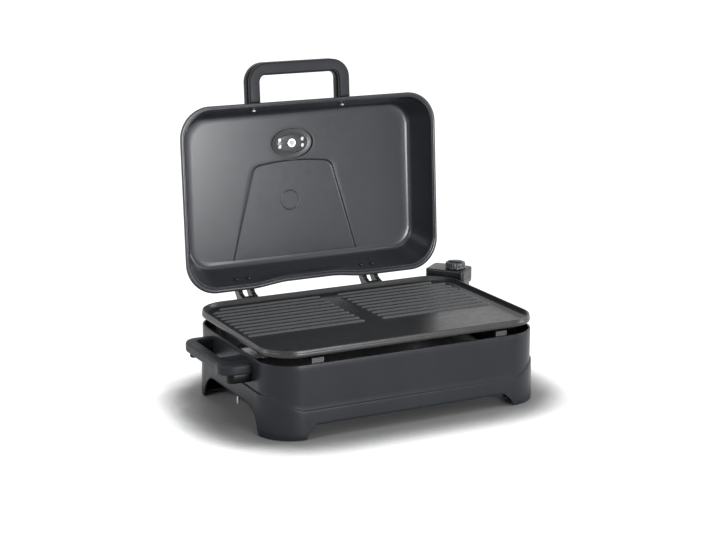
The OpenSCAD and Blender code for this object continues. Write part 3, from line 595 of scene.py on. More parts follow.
def lid_shell_piece(material, press):
    """The lid's sheet, closed over its hem, with an oval opening for the vent."""
    angles = lid_angles()
    rows = lid_rows(angles, press)
    reach = np.stack([np.broadcast_to(r, angles.shape) for r, _ in rows])
    height = np.array([z for _, z in rows])[:, None]
    x = LID_CENTRE[0] + reach * np.cos(angles)
    y = LID_CENTRE[1] + reach * np.sin(angles)
    sheet = lid_place(lid_bow(np.stack([x, y, np.broadcast_to(height, x.shape)], -1)))
    piece = build("lid_shell_sheet", [capped(sheet)], material, "lid", ["lid_shell"], 50)
    opening = [oval(FITTING_X, VENT_Y, 35.5, 24.0, z, circle(72)) for z in (LID_H - 8.0, LID_H + 6.0)]
    cut_away(piece, [capped(lid_place(opening))])


def vent_plate_piece(material):
    """Oval insert of the vent: grooves at its edge and round its middle, on both faces of the sheet.

    Half width, half depth and height over the sheet are given for each ring, from the middle of
    the inside over the edge to the middle of the outside.
    """
    level = LID_H - LID_T
    inside = [(2.0, 2.0, 1.4), (12.0, 7.0, 1.4), (22.0, 12.6, 1.4), (23.4, 13.7, 1.6), (23.9, 14.1, 3.0),
              (25.4, 15.4, 3.0), (26.0, 16.0, 1.2), (29.0, 18.4, 1.0), (32.4, 21.2, 0.7),
              (33.2, 22.0, 0.7), (33.7, 22.4, 3.2), (36.0, 24.7, 3.2), (36.6, 25.2, 0.2),
              (37.0, 25.5, -0.25), (38.0, 26.3, -0.3)]
    outside = [(38.0, 26.3, 1.75), (37.2, 25.6, 2.4), (36.4, 25.0, 4.0), (34.5, 23.3, 4.5),
               (26.0, 16.0, 4.6), (2.0, 2.0, 4.6)]
    rings = [oval(FITTING_X, VENT_Y, a, b, level + rise, circle(120)) for a, b, rise in inside + outside]
    piece = build("vent_plate", [capped(lid_place(rings))], material, "lid")
    hole_x, hole_y, hole_r = 19.0, 5.0, 3.0
    holes = []
    for side in (-1, 1):
        for step in (-1, 1):
            x, y = FITTING_X + side * hole_x, VENT_Y + step * hole_y
            rings = [oval(x, y, hole_r, hole_r, z, circle(28)) for z in (level - 4, level + 12)]
            holes.append(capped(lid_place(rings)))
    cut_away(piece, holes)


def lid_ring_piece(material, press, radius):
    """Embossed ring on the panel: a half round ridge turned about its middle."""
    level = LID_H - LID_T + press
    profile = [(radius + 1.3 * cos(k), level - 0.9 * sin(k) + 0.1) for k in np.linspace(0, pi, 9)]
    profile.append((radius, level + 0.4))
    x, y = -17.6, LID_REAR - 123.0
    rings = [oval(x, y, r, r, z, circle(72)) for r, z in profile]
    build("lid_ring_mark", [band(lid_place(rings))], material, "lid", (), 60)


def front_wall_y(z):
    """Where the front wall of the lid stands at a height over the rim."""
    heights = [0, 6.4, 12, 17, 22.5, 28, 33.5, 38.5]
    insets = [3.1, 3.1, 5.9, 7.6, 9.3, 11.0, 12.6, 14.1]
    return LID_Y - LID_D / 2 + np.interp(z, heights, insets) * FRONT_SLOPE


def lid_handle_piece(material, dark):
    """Wide U in layers: the grip, the back behind it and a narrower core, their legs cut to the lid's wall.

    Each layer has a lowest and highest height, the width that sets its line, its own width,
    and the radius and steps of its edges.
    """
    front = LID_Y - LID_D / 2
    near = front + 16.0
    run = (HANDLE_W - HANDLE_BAR) / 2
    slim, broad = HANDLE_BAR - 0.9, HANDLE_BAR + 0.9
    # The back and the core take the darker handle finish: painted shade on the handle's sides
    layers = [
        ("lid_handle_grip", 12.0, 19.6, slim, slim, 2.6, 6, material, ["lid_handle"]),
        ("lid_handle_back", 20.3, 35.0, broad, broad, 2.6, 6, dark, ["lid_handle"]),
        ("lid_handle_core", 18.45, 21.45, broad, 15.5, 0.6, 3, dark, ()),
    ]
    for name, low, high, line, wide, edge, steps, finish, replaced in layers:
        far = front - HANDLE_REACH + line / 2
        z = (low + high) / 2
        corners = [(FITTING_X - run, near, z), (FITTING_X - run, far, z),
                   (FITTING_X + run, far, z), (FITTING_X + run, near, z)]
        path = spread(bend(corners, HANDLE_BEND, 16), 14.0)
        rings = sweep(path, wide, high - low, edge, steps)
        for end in (0, -1):
            rings[end, :, 1] = front_wall_y(rings[end, :, 2]) + 0.9
        build(name, [capped(lid_place(rings))], finish, "lid", replaced)


# Base

def perimeter_stations():
    """Places round the base, as shares of the way, closer together where the arches end."""
    # Distances are measured from the middle of the front wall towards the right
    near_front = np.concatenate([np.linspace(147, 167, 18), np.linspace(38, 42, 3)])
    near_rear = BASE_ROUND / 2 - near_front
    arch = SIDE_ARCH - SIDE_ARCH_RISE * (1 - np.cos(np.linspace(0, pi / 2, 16)))
    arch = np.concatenate([arch, [97.6, 98.2, 99.0]])
    near_side = np.concatenate([BASE_ROUND / 4 - arch, BASE_ROUND / 4 + arch])
    half = np.concatenate([near_front, near_rear, near_side]) / BASE_ROUND
    marks = np.concatenate([np.linspace(0, 1, 420, endpoint=False), half, 1 - half])
    marks = np.unique(np.round(marks % 1.0, 6))
    return marks[np.concatenate([[True], np.diff(marks) > 2e-4])]


def base_place(stations):
    """Points on the base's outline, and the outward direction, for shares of the way from the front middle.

    Each point is a corner's centre, plus the radius outward, plus the way along a straight wall.
    """
    x, y = BASE_X, BASE_Y
    runs = np.array([x, BASE_ARC, 2 * y, BASE_ARC, 2 * x, BASE_ARC, 2 * y, BASE_ARC, x])
    centres = np.array([[0, -y], [x, -y], [x, y], [-x, y], [-x, -y]])
    way = stations * BASE_ROUND
    ends = np.cumsum(runs)
    part = np.clip(np.searchsorted(ends, way, side="right"), 0, len(runs) - 1)
    along = way - np.concatenate([[0], ends])[part]
    curved = part % 2 == 1
    turn = part // 2 * pi / 2 + np.where(curved, along / BASE_R, 0.0)
    normal = np.stack([np.sin(turn), -np.cos(turn)], -1)
    tangent = np.stack([np.cos(turn), np.sin(turn)], -1)
    ahead = np.where(curved, 0.0, along)[:, None]
    return centres[(part + 1) // 2] + normal * BASE_R + tangent * ahead, normal


def arch_height(place):
    """Height of the lower edge: feet at the corners, a low front arch and a high round side arch."""
    x, y = np.abs(place[:, 0]), place[:, 1]
    front = np.interp(x, [0, 150, 162, 164.5], [FRONT_ARCH_Z, FRONT_ARCH_Z, 8.0, FOOT_Z])
    reach = np.abs(y - SIDE_ARCH_Y)
    inner = np.clip(reach - (SIDE_ARCH - SIDE_ARCH_RISE), 0, SIDE_ARCH_RISE)
    side = FOOT_Z + np.sqrt(np.clip(SIDE_ARCH_RISE ** 2 - inner ** 2, 0, None))
    side = np.where(reach < SIDE_ARCH, side, FOOT_Z)
    low = np.where(np.abs(y) > BASE_D / 2 - 2.0, front, FOOT_Z)
    return np.where(x > BASE_W / 2 - 6.0, side, low)


def rim_height(place):
    """Height of the rim, with a dip for the plug at the rear right corner."""
    rel = place - CORNER[:2]
    out = rel @ np.array([cos(CONTROL_ANGLE), sin(CONTROL_ANGLE)])
    across = np.abs(rel @ np.array([-sin(CONTROL_ANGLE), cos(CONTROL_ANGLE)]))
    depth, half = 6.7, 25.0
    dip = (1 - smooth_step(across, half - 1.0, half + 1.0)) * (out > 0)
    return BASE_H - depth * dip


def base_wall_piece(material):
    """Wall of the base: a loop of rows up the inside and down the outside, closed under the feet.

    The outside stands out below the shoulder by an amount that grows toward the table. The
    shoulder is level on the front and rear, and climbs round the corners to the sides.
    """
    place, normal = base_place(perimeter_stations())
    low = arch_height(place)
    top = rim_height(place)
    shoulder = SHOULDER_Z + SHOULDER_CLIMB * smooth_step(np.abs(normal[:, 0]), 0.0, 1.0)

    def row(offset, z):
        flat = place + normal * np.broadcast_to(offset, len(place))[:, None]
        return at_height(flat, z)

    def flare(z):
        return SHOULDER_STEP + (FLARE - SHOULDER_STEP) * np.clip((shoulder - z) / shoulder, 0, 1)

    rim = ((-2.5, 0.15), (-1.7, 0.0), (-0.9, 0.0), (-0.25, 0.3), (0.0, 1.0))
    rows = [row(offset, top - drop) for offset, drop in rim]
    for share in (0.12, 0.35, 0.65, 0.9):
        rows.append(row(0.0, top - 1.0 + (shoulder + 2.6 - top + 1.0) * share))
    for rise, offset in ((1.7, 0.0), (1.3, 0.1), (0.9, 0.45), (0.3, 1.15), (-0.1, 1.65), (-0.6, 1.95),
                         (-1.8, SHOULDER_STEP)):
        rows.append(row(offset, np.maximum(shoulder + rise, low + 0.6)))
    for share in np.linspace(0.15, 1.0, 6):
        z = (shoulder - 1.8) + (low + 0.5 - shoulder + 1.8) * share
        z = np.maximum(np.minimum(z, shoulder - 1.8), low + 0.5)
        rows.append(row(flare(z), z))
    rows.append(row(flare(low) - 0.4, low))
    rows.append(row(flare(low) - BASE_WALL + 0.4, low))
    for share in (0.0, 0.5, 1.0):
        z = low + 0.5 + (top - 1.0 - low - 0.5) * share
        rows.append(row(np.where(z < shoulder, flare(z), 0.0) - BASE_WALL, z))
    build("base_wall", [band(rows)], material, "base", ["base_housing"], 42, 0.01)


def base_floor_piece(material):
    """Floor of the base with stiffening beads, and a web in each corner for the foot pads."""
    floor = rounded_rectangle(BASE_W - 2 * BASE_WALL + 1.0, BASE_D - 2 * BASE_WALL + 1.0,
                              BASE_R - BASE_WALL, 14, (20, 14))
    under, over = 37.0, 39.5
    shells = [capped(slab_rings(floor, under, over, 0.4))]
    bead_half, bead_z = 165.0, under - 0.4
    for y in np.linspace(-90, 90, 5):
        bead = spread(np.array([[-bead_half, y, bead_z], [bead_half, y, bead_z]]), 30.0)
        shells.append(capped(sweep(bead, 4.0, 3.0, 1.2, 4)))
    web = rounded_rectangle(BASE_W / 2 - 169.0, BASE_D / 2 - 101.0, 10.0, 10, (6, 6))
    inside = rounded_rectangle(BASE_W - 2.0, BASE_D - 2.0, BASE_R, 20, (30, 20))
    angles = circle(72) - pi
    far = outline_radius(inside, np.zeros(2), angles)
    for sx in (-1, 1):
        for sy in (-1, 1):
            shape = web + [sx * (BASE_W / 2 - 24.0), sy * (BASE_D / 2 - 24.0)]
            limit = np.interp(np.arctan2(shape[:, 1], shape[:, 0]), angles, far)
            length = np.linalg.norm(shape, axis=1)
            shape = shape * np.minimum(1.0, limit / length)[:, None]
            shells.append(capped(slab_rings(shape, 4.0, 7.0, 0.3)))
    build("base_floor", shells, material, "base", ["base_housing"])


def side_handle_piece(material, dark):
    """Loop handle: a bar carried round from wall to wall, with a lower web and blocks under its arms."""
    wall = -BASE_W / 2
    root = wall + 2.0
    out = wall - 34.0
    rear, front, level = 70.5, -66.0, 89.5
    bar, turn = 15.0, 14.0
    loop = [(root, rear, level), (out, rear, level), (out, front, level), (root, front, level)]
    path = spread(bend(loop, turn, 14), 12.0)
    # The bar is wider at its grip near the rear arm, and broad at its front arm
    along = np.linspace(0, 1, len(path))
    grip = 5.0 * smooth_step(-path[:, 0], 14 - wall, 30 - wall) * (1 - along)
    wide = bar + grip + 9.0 * smooth_step(along, 0.6, 0.76)
    web = spread(np.array([[root, -36.0, 88.0], [out - 2.0, -36.0, 88.0]]), 8.0)
    shells = [capped(sweep(path, wide, bar, 3.6, 6)), capped(sweep(web, 37.0, 10.0, 2.0, 4))]
    build("side_handle_loop", shells, material, "base", ["side_handle"])
    # The blocks under the arms take the darker handle finish: painted shade under the arms
    reach, low, high = 33.0, 70.2, 83.5
    under = []
    for y0, y1 in ((-76.0, -19.0), (64.0, 76.0)):
        block = rounded_rectangle(2 * reach, y1 - y0, min(9.0, (y1 - y0) / 2 - 0.5), 10, (8, 12))
        block = np.stack([np.minimum(-block[:, 0], 1.0), block[:, 1]], -1)
        under.append(capped(slab_rings(block + [wall, (y0 + y1) / 2], low, high, 1.5)))
    build("side_handle_arms", under, dark, "base", ["side_handle"])


# Plate

def plate_body_piece(material):
    """Casting of the plate: rings over the underside, the stepped rim band and down into the basin.

    The profile lists insets from the plate's edge and heights.
    """
    floor = PLATE_FLOOR
    low = PLATE_TOP - PLATE_BAND
    profile = [(60.0, PLATE_UNDER), (9.0, PLATE_UNDER), (7.4, PLATE_UNDER + 0.5), (7.0, PLATE_UNDER + 1.6),
               (7.0, low + 0.2), (6.0, low), (1.6, low), (0.5, low + 0.5), (0.0, low + 1.5),
               (0.0, low + 4.2), (0.15, low + 5.6), (0.7, low + 6.4), (0.9, low + 7.4),
               (0.9, PLATE_TOP - 1.2), (1.2, PLATE_TOP - 0.45), (1.9, PLATE_TOP - 0.05),
               (2.9, PLATE_TOP), (3.6, PLATE_TOP - 0.35), (4.2, PLATE_TOP - 1.2), (5.4, floor + 4.2),
               (6.8, floor + 2.4), (8.4, floor + 1.1), (10.4, floor + 0.3), (12.5, floor),
               (16.0, floor), (60.0, floor)]
    rings = []
    for inset, z in profile:
        r = max(PLATE_R - inset, 4.0)
        flat = rounded_rectangle(PLATE_W - 2 * inset, PLATE_D - 2 * inset, r, 22, (70, 46))
        rings.append(at_height(flat + [0.0, PLATE_Y], z))
    build("plate_casting", [capped(rings)], material, "plate", ["grill_plate"], 48)


def plate_ribs_piece(material, sizes):
    """Ribs: a bell-shaped ridge along each line, its ends rounded off by the same bell.

    They run from beside the plate's middle to a margin inside its outline, sunk a little into its
    floor. Each runs on over its end by a rounding that fades in width and height.
    """
    height, half = sizes.rib_height / MM, sizes.rib_width / MM / 2
    corner_x = PLATE_W / 2 - PLATE_R
    corner_y = PLATE_Y + PLATE_D / 2 - PLATE_R
    first = PLATE_Y + PLATE_D / 2 - 22.0
    inner, margin = 18.0, 20.0
    sink, over, rounding = 0.25, 4.0, 5.0
    near_end = np.linspace(0, 0.03, 7)
    t = np.concatenate([near_end, np.linspace(0.03, 0.97, 26)[1:-1], 0.97 + near_end])
    v = np.linspace(-1, 1, 15)
    bell = (0.5 + 0.5 * np.cos(pi * v)) ** 0.75
    ribs = []
    for k in range(sizes.rib_count):
        y = first - sizes.rib_spacing / MM * k
        back = max(0.0, y - corner_y)
        reach = corner_x + np.sqrt(max(0.0, (PLATE_R - margin) ** 2 - back ** 2))
        for side in (-1, 1):
            start, stop = np.sort([side * inner, side * reach])
            x = start - over + (stop - start + 2 * over) * t
            past = np.maximum(start + rounding - over - x, x - stop + rounding - over)
            fade = np.sqrt(np.clip(1 - (np.clip(past, 0, rounding) / rounding) ** 2, 0.0004, 1))
            yy = y + v[None, :] * half * fade[:, None]
            zz = PLATE_FLOOR - sink + (height + sink) * bell[None, :] * fade[:, None]
            xx = np.broadcast_to(x[:, None], yy.shape)
            top = np.stack([xx, yy, zz], -1)
            under = np.stack([xx[:, ::-1], yy[:, ::-1], np.full_like(yy, PLATE_FLOOR - 0.6)], -1)
            ribs.append(capped(np.concatenate([top, under], 1)))
    build("plate_ribs", ribs, material, "plate", (), 60)


# Heat control

def control_piece(material):
    """Housing of the control: a box with soft edges in two halves, stepped in at its foot.

    Each half lists insets, heights and corner radii.
    """
    low, split, top = CONTROL_LOW, SPLIT_Z, CONTROL_TOP
    lower = [(5.0, low, 3.0), (3.6, low + 0.3, 4.0), (3.0, low + 1.2, 4.5), (3.0, low + 8.0, 4.5),
             (2.0, low + 9.6, 5.0), (0.5, low + 10.8, 6.0), (0.0, low + 12.4, 6.0),
             (0.0, split - 0.8, 6.0), (0.5, split - 0.3, 6.0)]
    upper = [(0.5, split - 0.3, 6.0), (0.5, split + 0.3, 6.0), (0.0, split + 0.8, 6.0),
             (0.0, top - 2.6, 6.0), (0.2, top - 1.5, 5.8), (0.8, top - 0.6, 5.4), (1.7, top - 0.1, 4.8),
             (2.6, top, 4.0)]
    for name, steps, node in (("control_foot", lower, "control_lower_housing"),
                              ("control_cover", upper, "control_upper_housing")):
        rings = []
        for inset, z, r in steps:
            flat = rounded_rectangle(CONTROL_L - 2 * inset, CONTROL_W - 2 * inset, r, 10, (8, 10))
            rings.append(at_height(flat + [CONTROL_FACE + CONTROL_L / 2, 0.0], z))
        build(name, [capped(control_place(rings))], material, "control", [node])


def knob_piece(material, depth):
    """Knob: a fluted skirt and drum turned about its axis, with a raised grip across the top.

    The profile lists the radius, the height and how much of the flutes' depth shows.
    """
    angles = circle(144)
    flutes = 24
    flute = depth * np.cos(flutes * angles)
    profile = [(KNOB_R - 1.2, 0.0, 0), (KNOB_R, 0.5, 0), (KNOB_R, 1.8, 0), (KNOB_R - 0.4, 2.3, 0),
               (KNOB_R - 0.7, 2.9, 1), (KNOB_R - 0.7, 5.0, 1), (KNOB_R - 0.8, 8.0, 1),
               (KNOB_R - 1.2, 9.0, 0.5), (KNOB_R - 2.1, 9.5, 0), (KNOB_R - 3.6, 9.6, 0),
               (KNOB_R - 4.2, 9.2, 0), (4.0, 9.2, 0)]
    rings = []
    for r, z, share in profile:
        radius = r + flute * share
        rings.append(oval(KNOB_OUT, KNOB_T, radius, radius, KNOB_LOW + z, angles))
    ends = [[KNOB_OUT, KNOB_T + side * 11.5, KNOB_LOW + 9.3] for side in (-1, 1)]
    grip = spread(np.array(ends), 3.0)
    taper = 1 - 0.55 * np.abs(np.linspace(-1, 1, len(grip))) ** 4
    grip = sweep(grip, 6.4 * taper, 4.2 * taper, 0.9, 5)
    shells = [capped(control_place(rings)), capped(control_place(grip))]
    build("knob_cap", shells, material, "knob", ["control_knob"])


# Settings a user would change

LENGTH = {"subtype": "DISTANCE", "unit": "LENGTH"}
COLOUR = {"subtype": "COLOR", "size": 3, "min": 0, "max": 1}
SHARE = {"subtype": "FACTOR", "min": 0, "max": 1}


class GrillSizes(bpy.types.PropertyGroup):
    """Sizes of the details that the frame doesn't fix."""

    rib_count: IntProperty(
        name="Ribs", description="Number of ribs in each rib zone of the plate", min=1, max=14, default=10)
    rib_spacing: FloatProperty(
        name="Rib spacing", description="Distance from one rib to the next", min=6 * MM,
        default=16.5 * MM, **LENGTH)
    rib_height: FloatProperty(
        name="Rib height", description="Height of a rib over the plate's floor", max=6 * MM,
        default=2.5 * MM, **LENGTH)
    rib_width: FloatProperty(
        name="Rib width", description="Width of a rib at its foot", min=1 * MM, default=9.2 * MM, **LENGTH)
    panel_press: FloatProperty(
        name="Panel depth", description="How far the panel is pressed into the lid", max=3 * MM,
        default=1.6 * MM, **LENGTH)
    mark_radius: FloatProperty(
        name="Mark radius", description="Radius of the embossed ring on the panel", min=4 * MM,
        max=30 * MM, default=15 * MM, **LENGTH)
    flute_depth: FloatProperty(
        name="Flute depth", description="Depth of the knob's flutes to each side of its radius",
        max=0.7 * MM, default=0.45 * MM, **LENGTH)


class GrillFinishes(bpy.types.PropertyGroup):
    """Colours and gloss of the grill."""

    housing: FloatVectorProperty(
        name="Base", description="Colour of the moulded base",
        default=(0.019, 0.0212, 0.0255), **COLOUR)
    handle: FloatVectorProperty(
        name="Handles", description="Colour of the two handles",
        default=(0.019, 0.0212, 0.0255), **COLOUR)
    lid: FloatVectorProperty(
        name="Lid", description="Colour of the painted lid",
        default=(0.03, 0.0325, 0.038), **COLOUR)
    plate: FloatVectorProperty(
        name="Plate", description="Colour of the plate's non-stick coat",
        default=(0.015, 0.0157, 0.017), **COLOUR)
    control: FloatVectorProperty(
        name="Control", description="Colour of the heat control",
        default=(0.006, 0.0064, 0.0075), **COLOUR)
    lid_roughness: FloatProperty(
        name="Lid roughness", description="Roughness of the lid's paint",
        default=0.24, **SHARE)
    plate_roughness: FloatProperty(
        name="Plate roughness", description="Roughness of the plate's coat",
        default=0.3, **SHARE)


class GrillStage(bpy.types.PropertyGroup):
    """Camera and light."""

    azimuth: FloatProperty(
        name="Azimuth", description="Bearing of the camera, 0 looking toward the hinges", subtype="ANGLE",
        default=radians(-26.75))
    elevation: FloatProperty(
        name="Elevation", description="Height of the camera over the horizon", subtype="ANGLE",
        default=radians(13.98))
    distance: FloatProperty(
        name="Distance", description="Distance from the camera to its target",
        default=2.4768, **LENGTH)
    lens: FloatProperty(
        name="Lens", description="Focal length on a 36 mm wide frame, in millimetres", unit="CAMERA",
        min=20, max=300, default=85.73)
    key: FloatProperty(
        name="Light", description="Power that the soft boxes take their shares of, in watts",
        unit="POWER", min=0, max=100, default=10.0)


# Shared finishes, made once by the first operator that needs them

FINISHES = {}


def finish_for(name):
    if not FINISHES:
        make_finishes(bpy.context.scene.grill_finishes)
    return FINISHES[name]


def make_finishes(values):
    FINISHES.update(
        housing=moulded("Base moulding", tuple(values.housing), 0.33),
        handle=moulded("Handle moulding", tuple(values.handle), 0.44),
        # A far darker copy of the handle moulding: painted shade on the lid handle's sides and under the
        # side handle's arms
        handle_dark=moulded("Handle moulding darkened as painted shade", tone(values.handle, 0.2), 0.3, gloss=0.1),
        lid_paint=painted("Lid paint", tuple(values.lid), values.lid_roughness),
        lid_fitting=painted("Vent paint", tone(values.lid, 0.8), values.lid_roughness),
        nonstick=coated("Plate coat", tuple(values.plate), values.plate_roughness),
        # The ribs take the plate's coat five times lighter: a painted highlight along the ribs
        ribs=coated("Rib coat with painted highlight", tone(values.plate, 5.0), values.plate_roughness - 0.06),
        control=moulded("Control moulding", tuple(values.control), 0.3, 1.2, 0.008, 0.3),
        knob=moulded("Knob moulding", tone(values.control, 4.0), 0.28, 1.2, 0.008, 0.5),
        sheet=drawn_metal("Rolled sheet", (0.56, 0.56, 0.57), 0.32),
        # A darker copy of the rolled sheet, for the lid handle's screws and the vent screw
        sheet_dark=drawn_metal("Darkened sheet", (0.2, 0.2, 0.2), 0.4),
        # A very dark metal for the heat shield and the plate supports: painted shade in the gap round the
        # plate
        spring=drawn_metal("Sheet darkened as painted shade", (0.07, 0.07, 0.072), 0.3),
        steel=drawn_metal("Zinc plated steel", (0.62, 0.62, 0.61), 0.26),
        bracket=painted("Black enamel", (0.012, 0.012, 0.013), 0.3, 0.0),
        element=plain_grain("Heat stained tube", (0.09, 0.075, 0.06), 0.5, 2.0, 0.03, 0.8),
        brass=drawn_metal("Brass", (0.72, 0.52, 0.25), 0.3),
        ceramic=plain_grain("Unglazed ceramic", (0.72, 0.69, 0.62), 0.75, 0.8, 0.05),
        rubber=plain_grain("Matt rubber", (0.012, 0.012, 0.012), 0.8, 0.7, 0.05),
        lens=lens_finish(),
        lamp=plain_grain("Frosted lamp", (0.75, 0.72, 0.66), 0.4, 1.0, 0.02),
    )


def lens_finish():
    """Clear amber plastic with a fine ripple."""
    finish = Finish("Amber lens", (0.75, 0.28, 0.06), 0.18)
    finish.shade(finish.noise(2.0, 2.0), (0.7, 0.24, 0.05), (0.8, 0.33, 0.08))
    finish.bump(finish.noise(0.8, 2.0), 0.03)
    finish.set({"Transmission Weight": 0.35})
    return finish.material


# The heat shield and the plate supports take the darkened sheet, which stands for shade in the gap round the
# plate
FRAME_FINISH = {
    "side_handle_screws": "steel", "rubber_feet": "rubber", "heat_shield": "spring", "shield_studs": "steel",
    "plate_supports": "spring", "support_screws": "steel", "base_hinge_brackets": "bracket",
    "base_hinge_screws": "steel", "hinge_pins": "steel", "drip_tray": "sheet", "heating_element": "element",
    "element_clips": "steel", "terminal_pins": "brass", "terminal_insulators": "ceramic",
    "terminal_guard": "steel", "guard_screws": "steel", "lid_handle_screws": "sheet_dark",
    "lid_hinge_arms": "bracket", "lid_hinge_screws": "bracket", "vent_damper": "lid_fitting",
    "vent_screw": "sheet_dark", "vent_washer": "steel", "control_screws": "steel", "cord_inlet": "rubber",
    "probe_tube": "steel", "contact_sockets": "brass", "thermostat_block": "ceramic",
    "knob_shaft": "steel", "pilot_lens": "lens", "pilot_lamp": "lamp",
}


# Operators

class GRILL_OT_frame_pieces(bpy.types.Operator):
    """Gives every piece carried over from the frame its finish"""

    bl_idname = "grill.frame_pieces"
    bl_label = "Finish Frame Pieces"

    def execute(self, context):
        for node, name in FRAME_FINISH.items():
            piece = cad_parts[node]
            piece.data.materials.clear()
            piece.data.materials.append(finish_for(name))
        return {"FINISHED"}


class GRILL_OT_lid(bpy.types.Operator):
    """Makes the lid's sheet, its vent plate and its embossed ring"""

    bl_idname = "grill.lid"
    bl_label = "Lid"

    def execute(self, context):
        sizes = context.scene.grill_sizes
        press = sizes.panel_press / MM
        lid_shell_piece(finish_for("lid_paint"), press)
        vent_plate_piece(finish_for("lid_fitting"))
        lid_ring_piece(finish_for("lid_paint"), press, sizes.mark_radius / MM)
        return {"FINISHED"}


class GRILL_OT_lid_handle(bpy.types.Operator):
    """Makes the wide handle on the lid"""

    bl_idname = "grill.lid_handle"
    bl_label = "Lid Handle"

    def execute(self, context):
        lid_handle_piece(finish_for("handle"), finish_for("handle_dark"))
        return {"FINISHED"}


class GRILL_OT_base(bpy.types.Operator):
    """Makes the wall, the floor and the side handle of the base"""

    bl_idname = "grill.base"
    bl_label = "Base"

    def execute(self, context):
        base_wall_piece(finish_for("housing"))
        base_floor_piece(finish_for("housing"))
        side_handle_piece(finish_for("handle"), finish_for("handle_dark"))
        return {"FINISHED"}


class GRILL_OT_plate(bpy.types.Operator):
    """Makes the plate's casting and its ribs"""

    bl_idname = "grill.plate"
    bl_label = "Grill Plate"

    def execute(self, context):
        plate_body_piece(finish_for("nonstick"))
        plate_ribs_piece(finish_for("ribs"), context.scene.grill_sizes)
        return {"FINISHED"}


class GRILL_OT_control(bpy.types.Operator):
    """Makes the housing of the heat control and its knob"""

    bl_idname = "grill.control"
    bl_label = "Heat Control"

    def execute(self, context):
        control_piece(finish_for("control"))
        knob_piece(finish_for("knob"), context.scene.grill_sizes.flute_depth / MM)
        return {"FINISHED"}


def maths(tree, operation, a, b):
    """Output of a node that works on two values, each a number or another node's output."""
    return node(tree, "ShaderNodeMath", {0: a, 1: b}, operation=operation).outputs[0]


def seen_ray(tree):
    """Value that is 1 for what the camera, a reflection or a see-through piece looks at."""
    rays = node(tree, "ShaderNodeLightPath", {}).outputs
    mirrored = maths(tree, "MAXIMUM", rays["Is Camera Ray"], rays["Is Glossy Ray"])
    return maths(tree, "MAXIMUM", mirrored, rays["Is Transmission Ray"])


def floor_finish():
    """Pale matt floor that shows white: its matt part takes the lamps' shadows, and its white glow, dimmed
    by ambient occlusion where the object stands close over it, paints a contact shadow.
    """
    material = bpy.data.materials.new("Pale floor")
    material.use_nodes = True
    tree = material.node_tree
    matt = tree.nodes["Principled BSDF"]
    fill(tree, matt, {"Base Color": (0.3, 0.3, 0.3, 1.0), "Roughness": 0.6})
    # Painted contact shadow: ambient occlusion dims the floor's white glow near the object
    near = node(tree, "ShaderNodeAmbientOcclusion", {"Distance": 0.11})
    span = {"Value": near.outputs["AO"], "From Min": 0.68, "From Max": 0.92}
    level = node(tree, "ShaderNodeMapRange", span)
    clear = maths(tree, "POWER", level.outputs["Result"], 2.2)
    glow = node(tree, "ShaderNodeEmission", {"Strength": maths(tree, "MULTIPLY", clear, seen_ray(tree))})
    total = node(tree, "ShaderNodeAddShader", {0: matt.outputs[0], 1: glow.outputs[0]})
    fill(tree, tree.nodes["Material Output"], {"Surface": total.outputs[0]})
    return material


# Half the side of the floor and the height that the lamps face, in metres, the width of the
# camera's frame in millimetres, and where it looks, in millimetres over the base's middle
FLOOR_HALF = 30.0
LIGHT_Z = 0.18
SENSOR_W = 36.0
AIM = np.array([-10.08, 5.21, 187.8])


def direction(bearing, rise):
    """Direction out from the object: a bearing from its front, toward its right, and a rise, as angles."""
    return Vector((sin(bearing) * cos(rise), -cos(bearing) * cos(rise), sin(rise)))


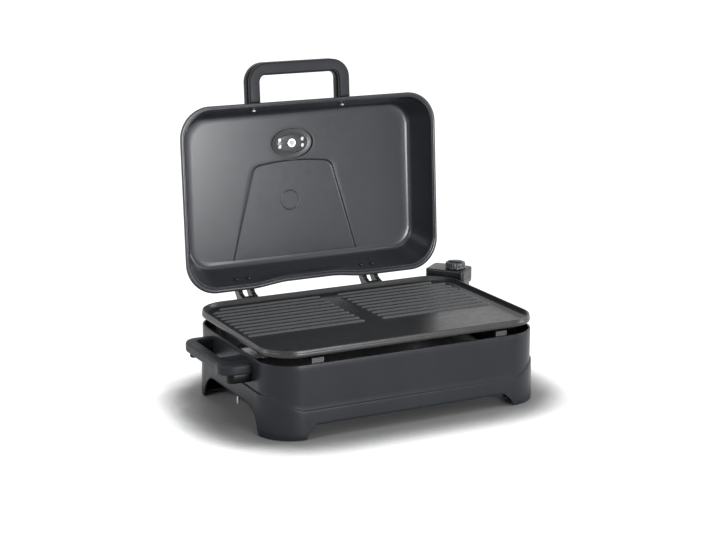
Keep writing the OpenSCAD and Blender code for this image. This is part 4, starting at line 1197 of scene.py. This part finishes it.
class GRILL_OT_stage(bpy.types.Operator):
    """Makes the floor, the light and the camera"""

    bl_idname = "grill.stage"
    bl_label = "Stage"

    def execute(self, context):
        values = context.scene.grill_stage
        lines = 25
        x = np.linspace(-FLOOR_HALF, FLOOR_HALF, lines)
        points = np.stack([*np.meshgrid(x, x), np.zeros((lines, lines))], -1).reshape(-1, 3)
        mesh = bpy.data.meshes.new("floor")
        mesh.from_pydata(points.tolist(), [], quads(lines, lines, False, False).tolist())
        floor = bpy.data.objects.new("floor", mesh)
        context.scene.collection.objects.link(floor)
        mesh.materials.append(floor_finish())
        self.world(context.scene)
        self.lamps(context, values)
        self.camera(context, values)
        return {"FINISHED"}

    def world(self, scene):
        """Even pale light, shown as white where the camera or a reflection looks past the object."""
        world = bpy.data.worlds.new("Studio")
        scene.world = world
        world.use_nodes = True
        tree = world.node_tree
        tree.nodes.clear()
        pale = node(tree, "ShaderNodeBackground", {"Color": (0.9, 0.92, 1.0, 1.0), "Strength": 0.12})
        white = node(tree, "ShaderNodeBackground", {"Color": (1.0, 1.0, 1.0, 1.0)})
        mix = node(tree, "ShaderNodeMixShader", {0: seen_ray(tree), 1: pale.outputs[0], 2: white.outputs[0]})
        node(tree, "ShaderNodeOutputWorld", {"Surface": mix.outputs[0]})

    def lamps(self, context, values):
        """Soft boxes round the object.

        Each has a bearing from the front and a rise in degrees, a distance, a width and a height
        in metres, and a share of the light's power.
        """
        boxes = [
            ("Left", -105, 8, 2.2, 0.7, 0.7, 0.85),
            ("Left high", -72, 28, 2.2, 0.8, 0.8, 1.0),
            ("Low front", 8, 4, 2.35, 0.8, 0.5, 4.2),
            ("Right", 62, 8, 2.2, 0.7, 0.7, 1.3),
            ("Right high", 82, 32, 2.2, 0.8, 0.8, 0.9),
            ("Top", -20, 72, 2.2, 0.8, 0.8, 0.35),
            ("Right front", 42, 32, 2.2, 0.7, 0.7, 0.35),
            ("Rear", 180, 35, 2.2, 0.7, 0.7, 0.1),
        ]
        centre = Vector((0.0, 0.0, LIGHT_Z))
        for name, bearing, rise, far, w, h, share in boxes:
            light = bpy.data.lights.new(name, "AREA")
            light.shape = "RECTANGLE"
            light.size = w
            light.size_y = h
            light.energy = values.key * share
            lamp = bpy.data.objects.new(name, light)
            lamp.location = centre + far * direction(radians(bearing), radians(rise))
            lamp.location.z = max(lamp.location.z, h / 2 + 0.02)
            lamp.rotation_euler = (centre - lamp.location).to_track_quat("-Z", "Y").to_euler()
            lamp.visible_camera = False
            context.scene.collection.objects.link(lamp)

    def camera(self, context, values):
        """Camera on the photo's line of sight."""
        target = Vector((AIM + MIDDLE) * MM)
        back = direction(values.azimuth, values.elevation)
        lens = bpy.data.cameras.new("Camera")
        lens.lens = values.lens
        lens.sensor_width = SENSOR_W
        lens.clip_end = 50.0
        camera = bpy.data.objects.new("Camera", lens)
        camera.location = target + back * values.distance
        camera.rotation_euler = (-back).to_track_quat("-Z", "Y").to_euler()
        context.scene.collection.objects.link(camera)
        context.scene.camera = camera
        context.scene.view_settings.view_transform = "Standard"


STEPS = (GRILL_OT_frame_pieces, GRILL_OT_lid, GRILL_OT_lid_handle, GRILL_OT_base, GRILL_OT_plate,
         GRILL_OT_control, GRILL_OT_stage)


class GRILL_PT_panel(bpy.types.Panel):
    """Lists the steps that build the grill"""

    bl_idname = "GRILL_PT_panel"
    bl_label = "Indoor Grill"
    bl_space_type = "VIEW_3D"
    bl_region_type = "UI"
    bl_category = "Grill"

    def draw(self, context):
        layout = self.layout
        for step in STEPS:
            layout.operator(step.bl_idname)
        for group, kind in GROUPS.items():
            box = layout.box()
            for name in kind.__annotations__:
                box.prop(getattr(context.scene, group), name)


GROUPS = {"grill_sizes": GrillSizes, "grill_finishes": GrillFinishes, "grill_stage": GrillStage}
CLASSES = (*GROUPS.values(), *STEPS, GRILL_PT_panel)


def register():
    for item in CLASSES:
        bpy.utils.register_class(item)
    for name, kind in GROUPS.items():
        setattr(bpy.types.Scene, name, PointerProperty(type=kind))


def unregister():
    for name in GROUPS:
        delattr(bpy.types.Scene, name)
    for item in reversed(CLASSES):
        bpy.utils.unregister_class(item)


def main():
    register()
    for step in STEPS:
        group, name = step.bl_idname.split(".")
        getattr(getattr(bpy.ops, group), name)()


if __name__ == "__main__":
    main()
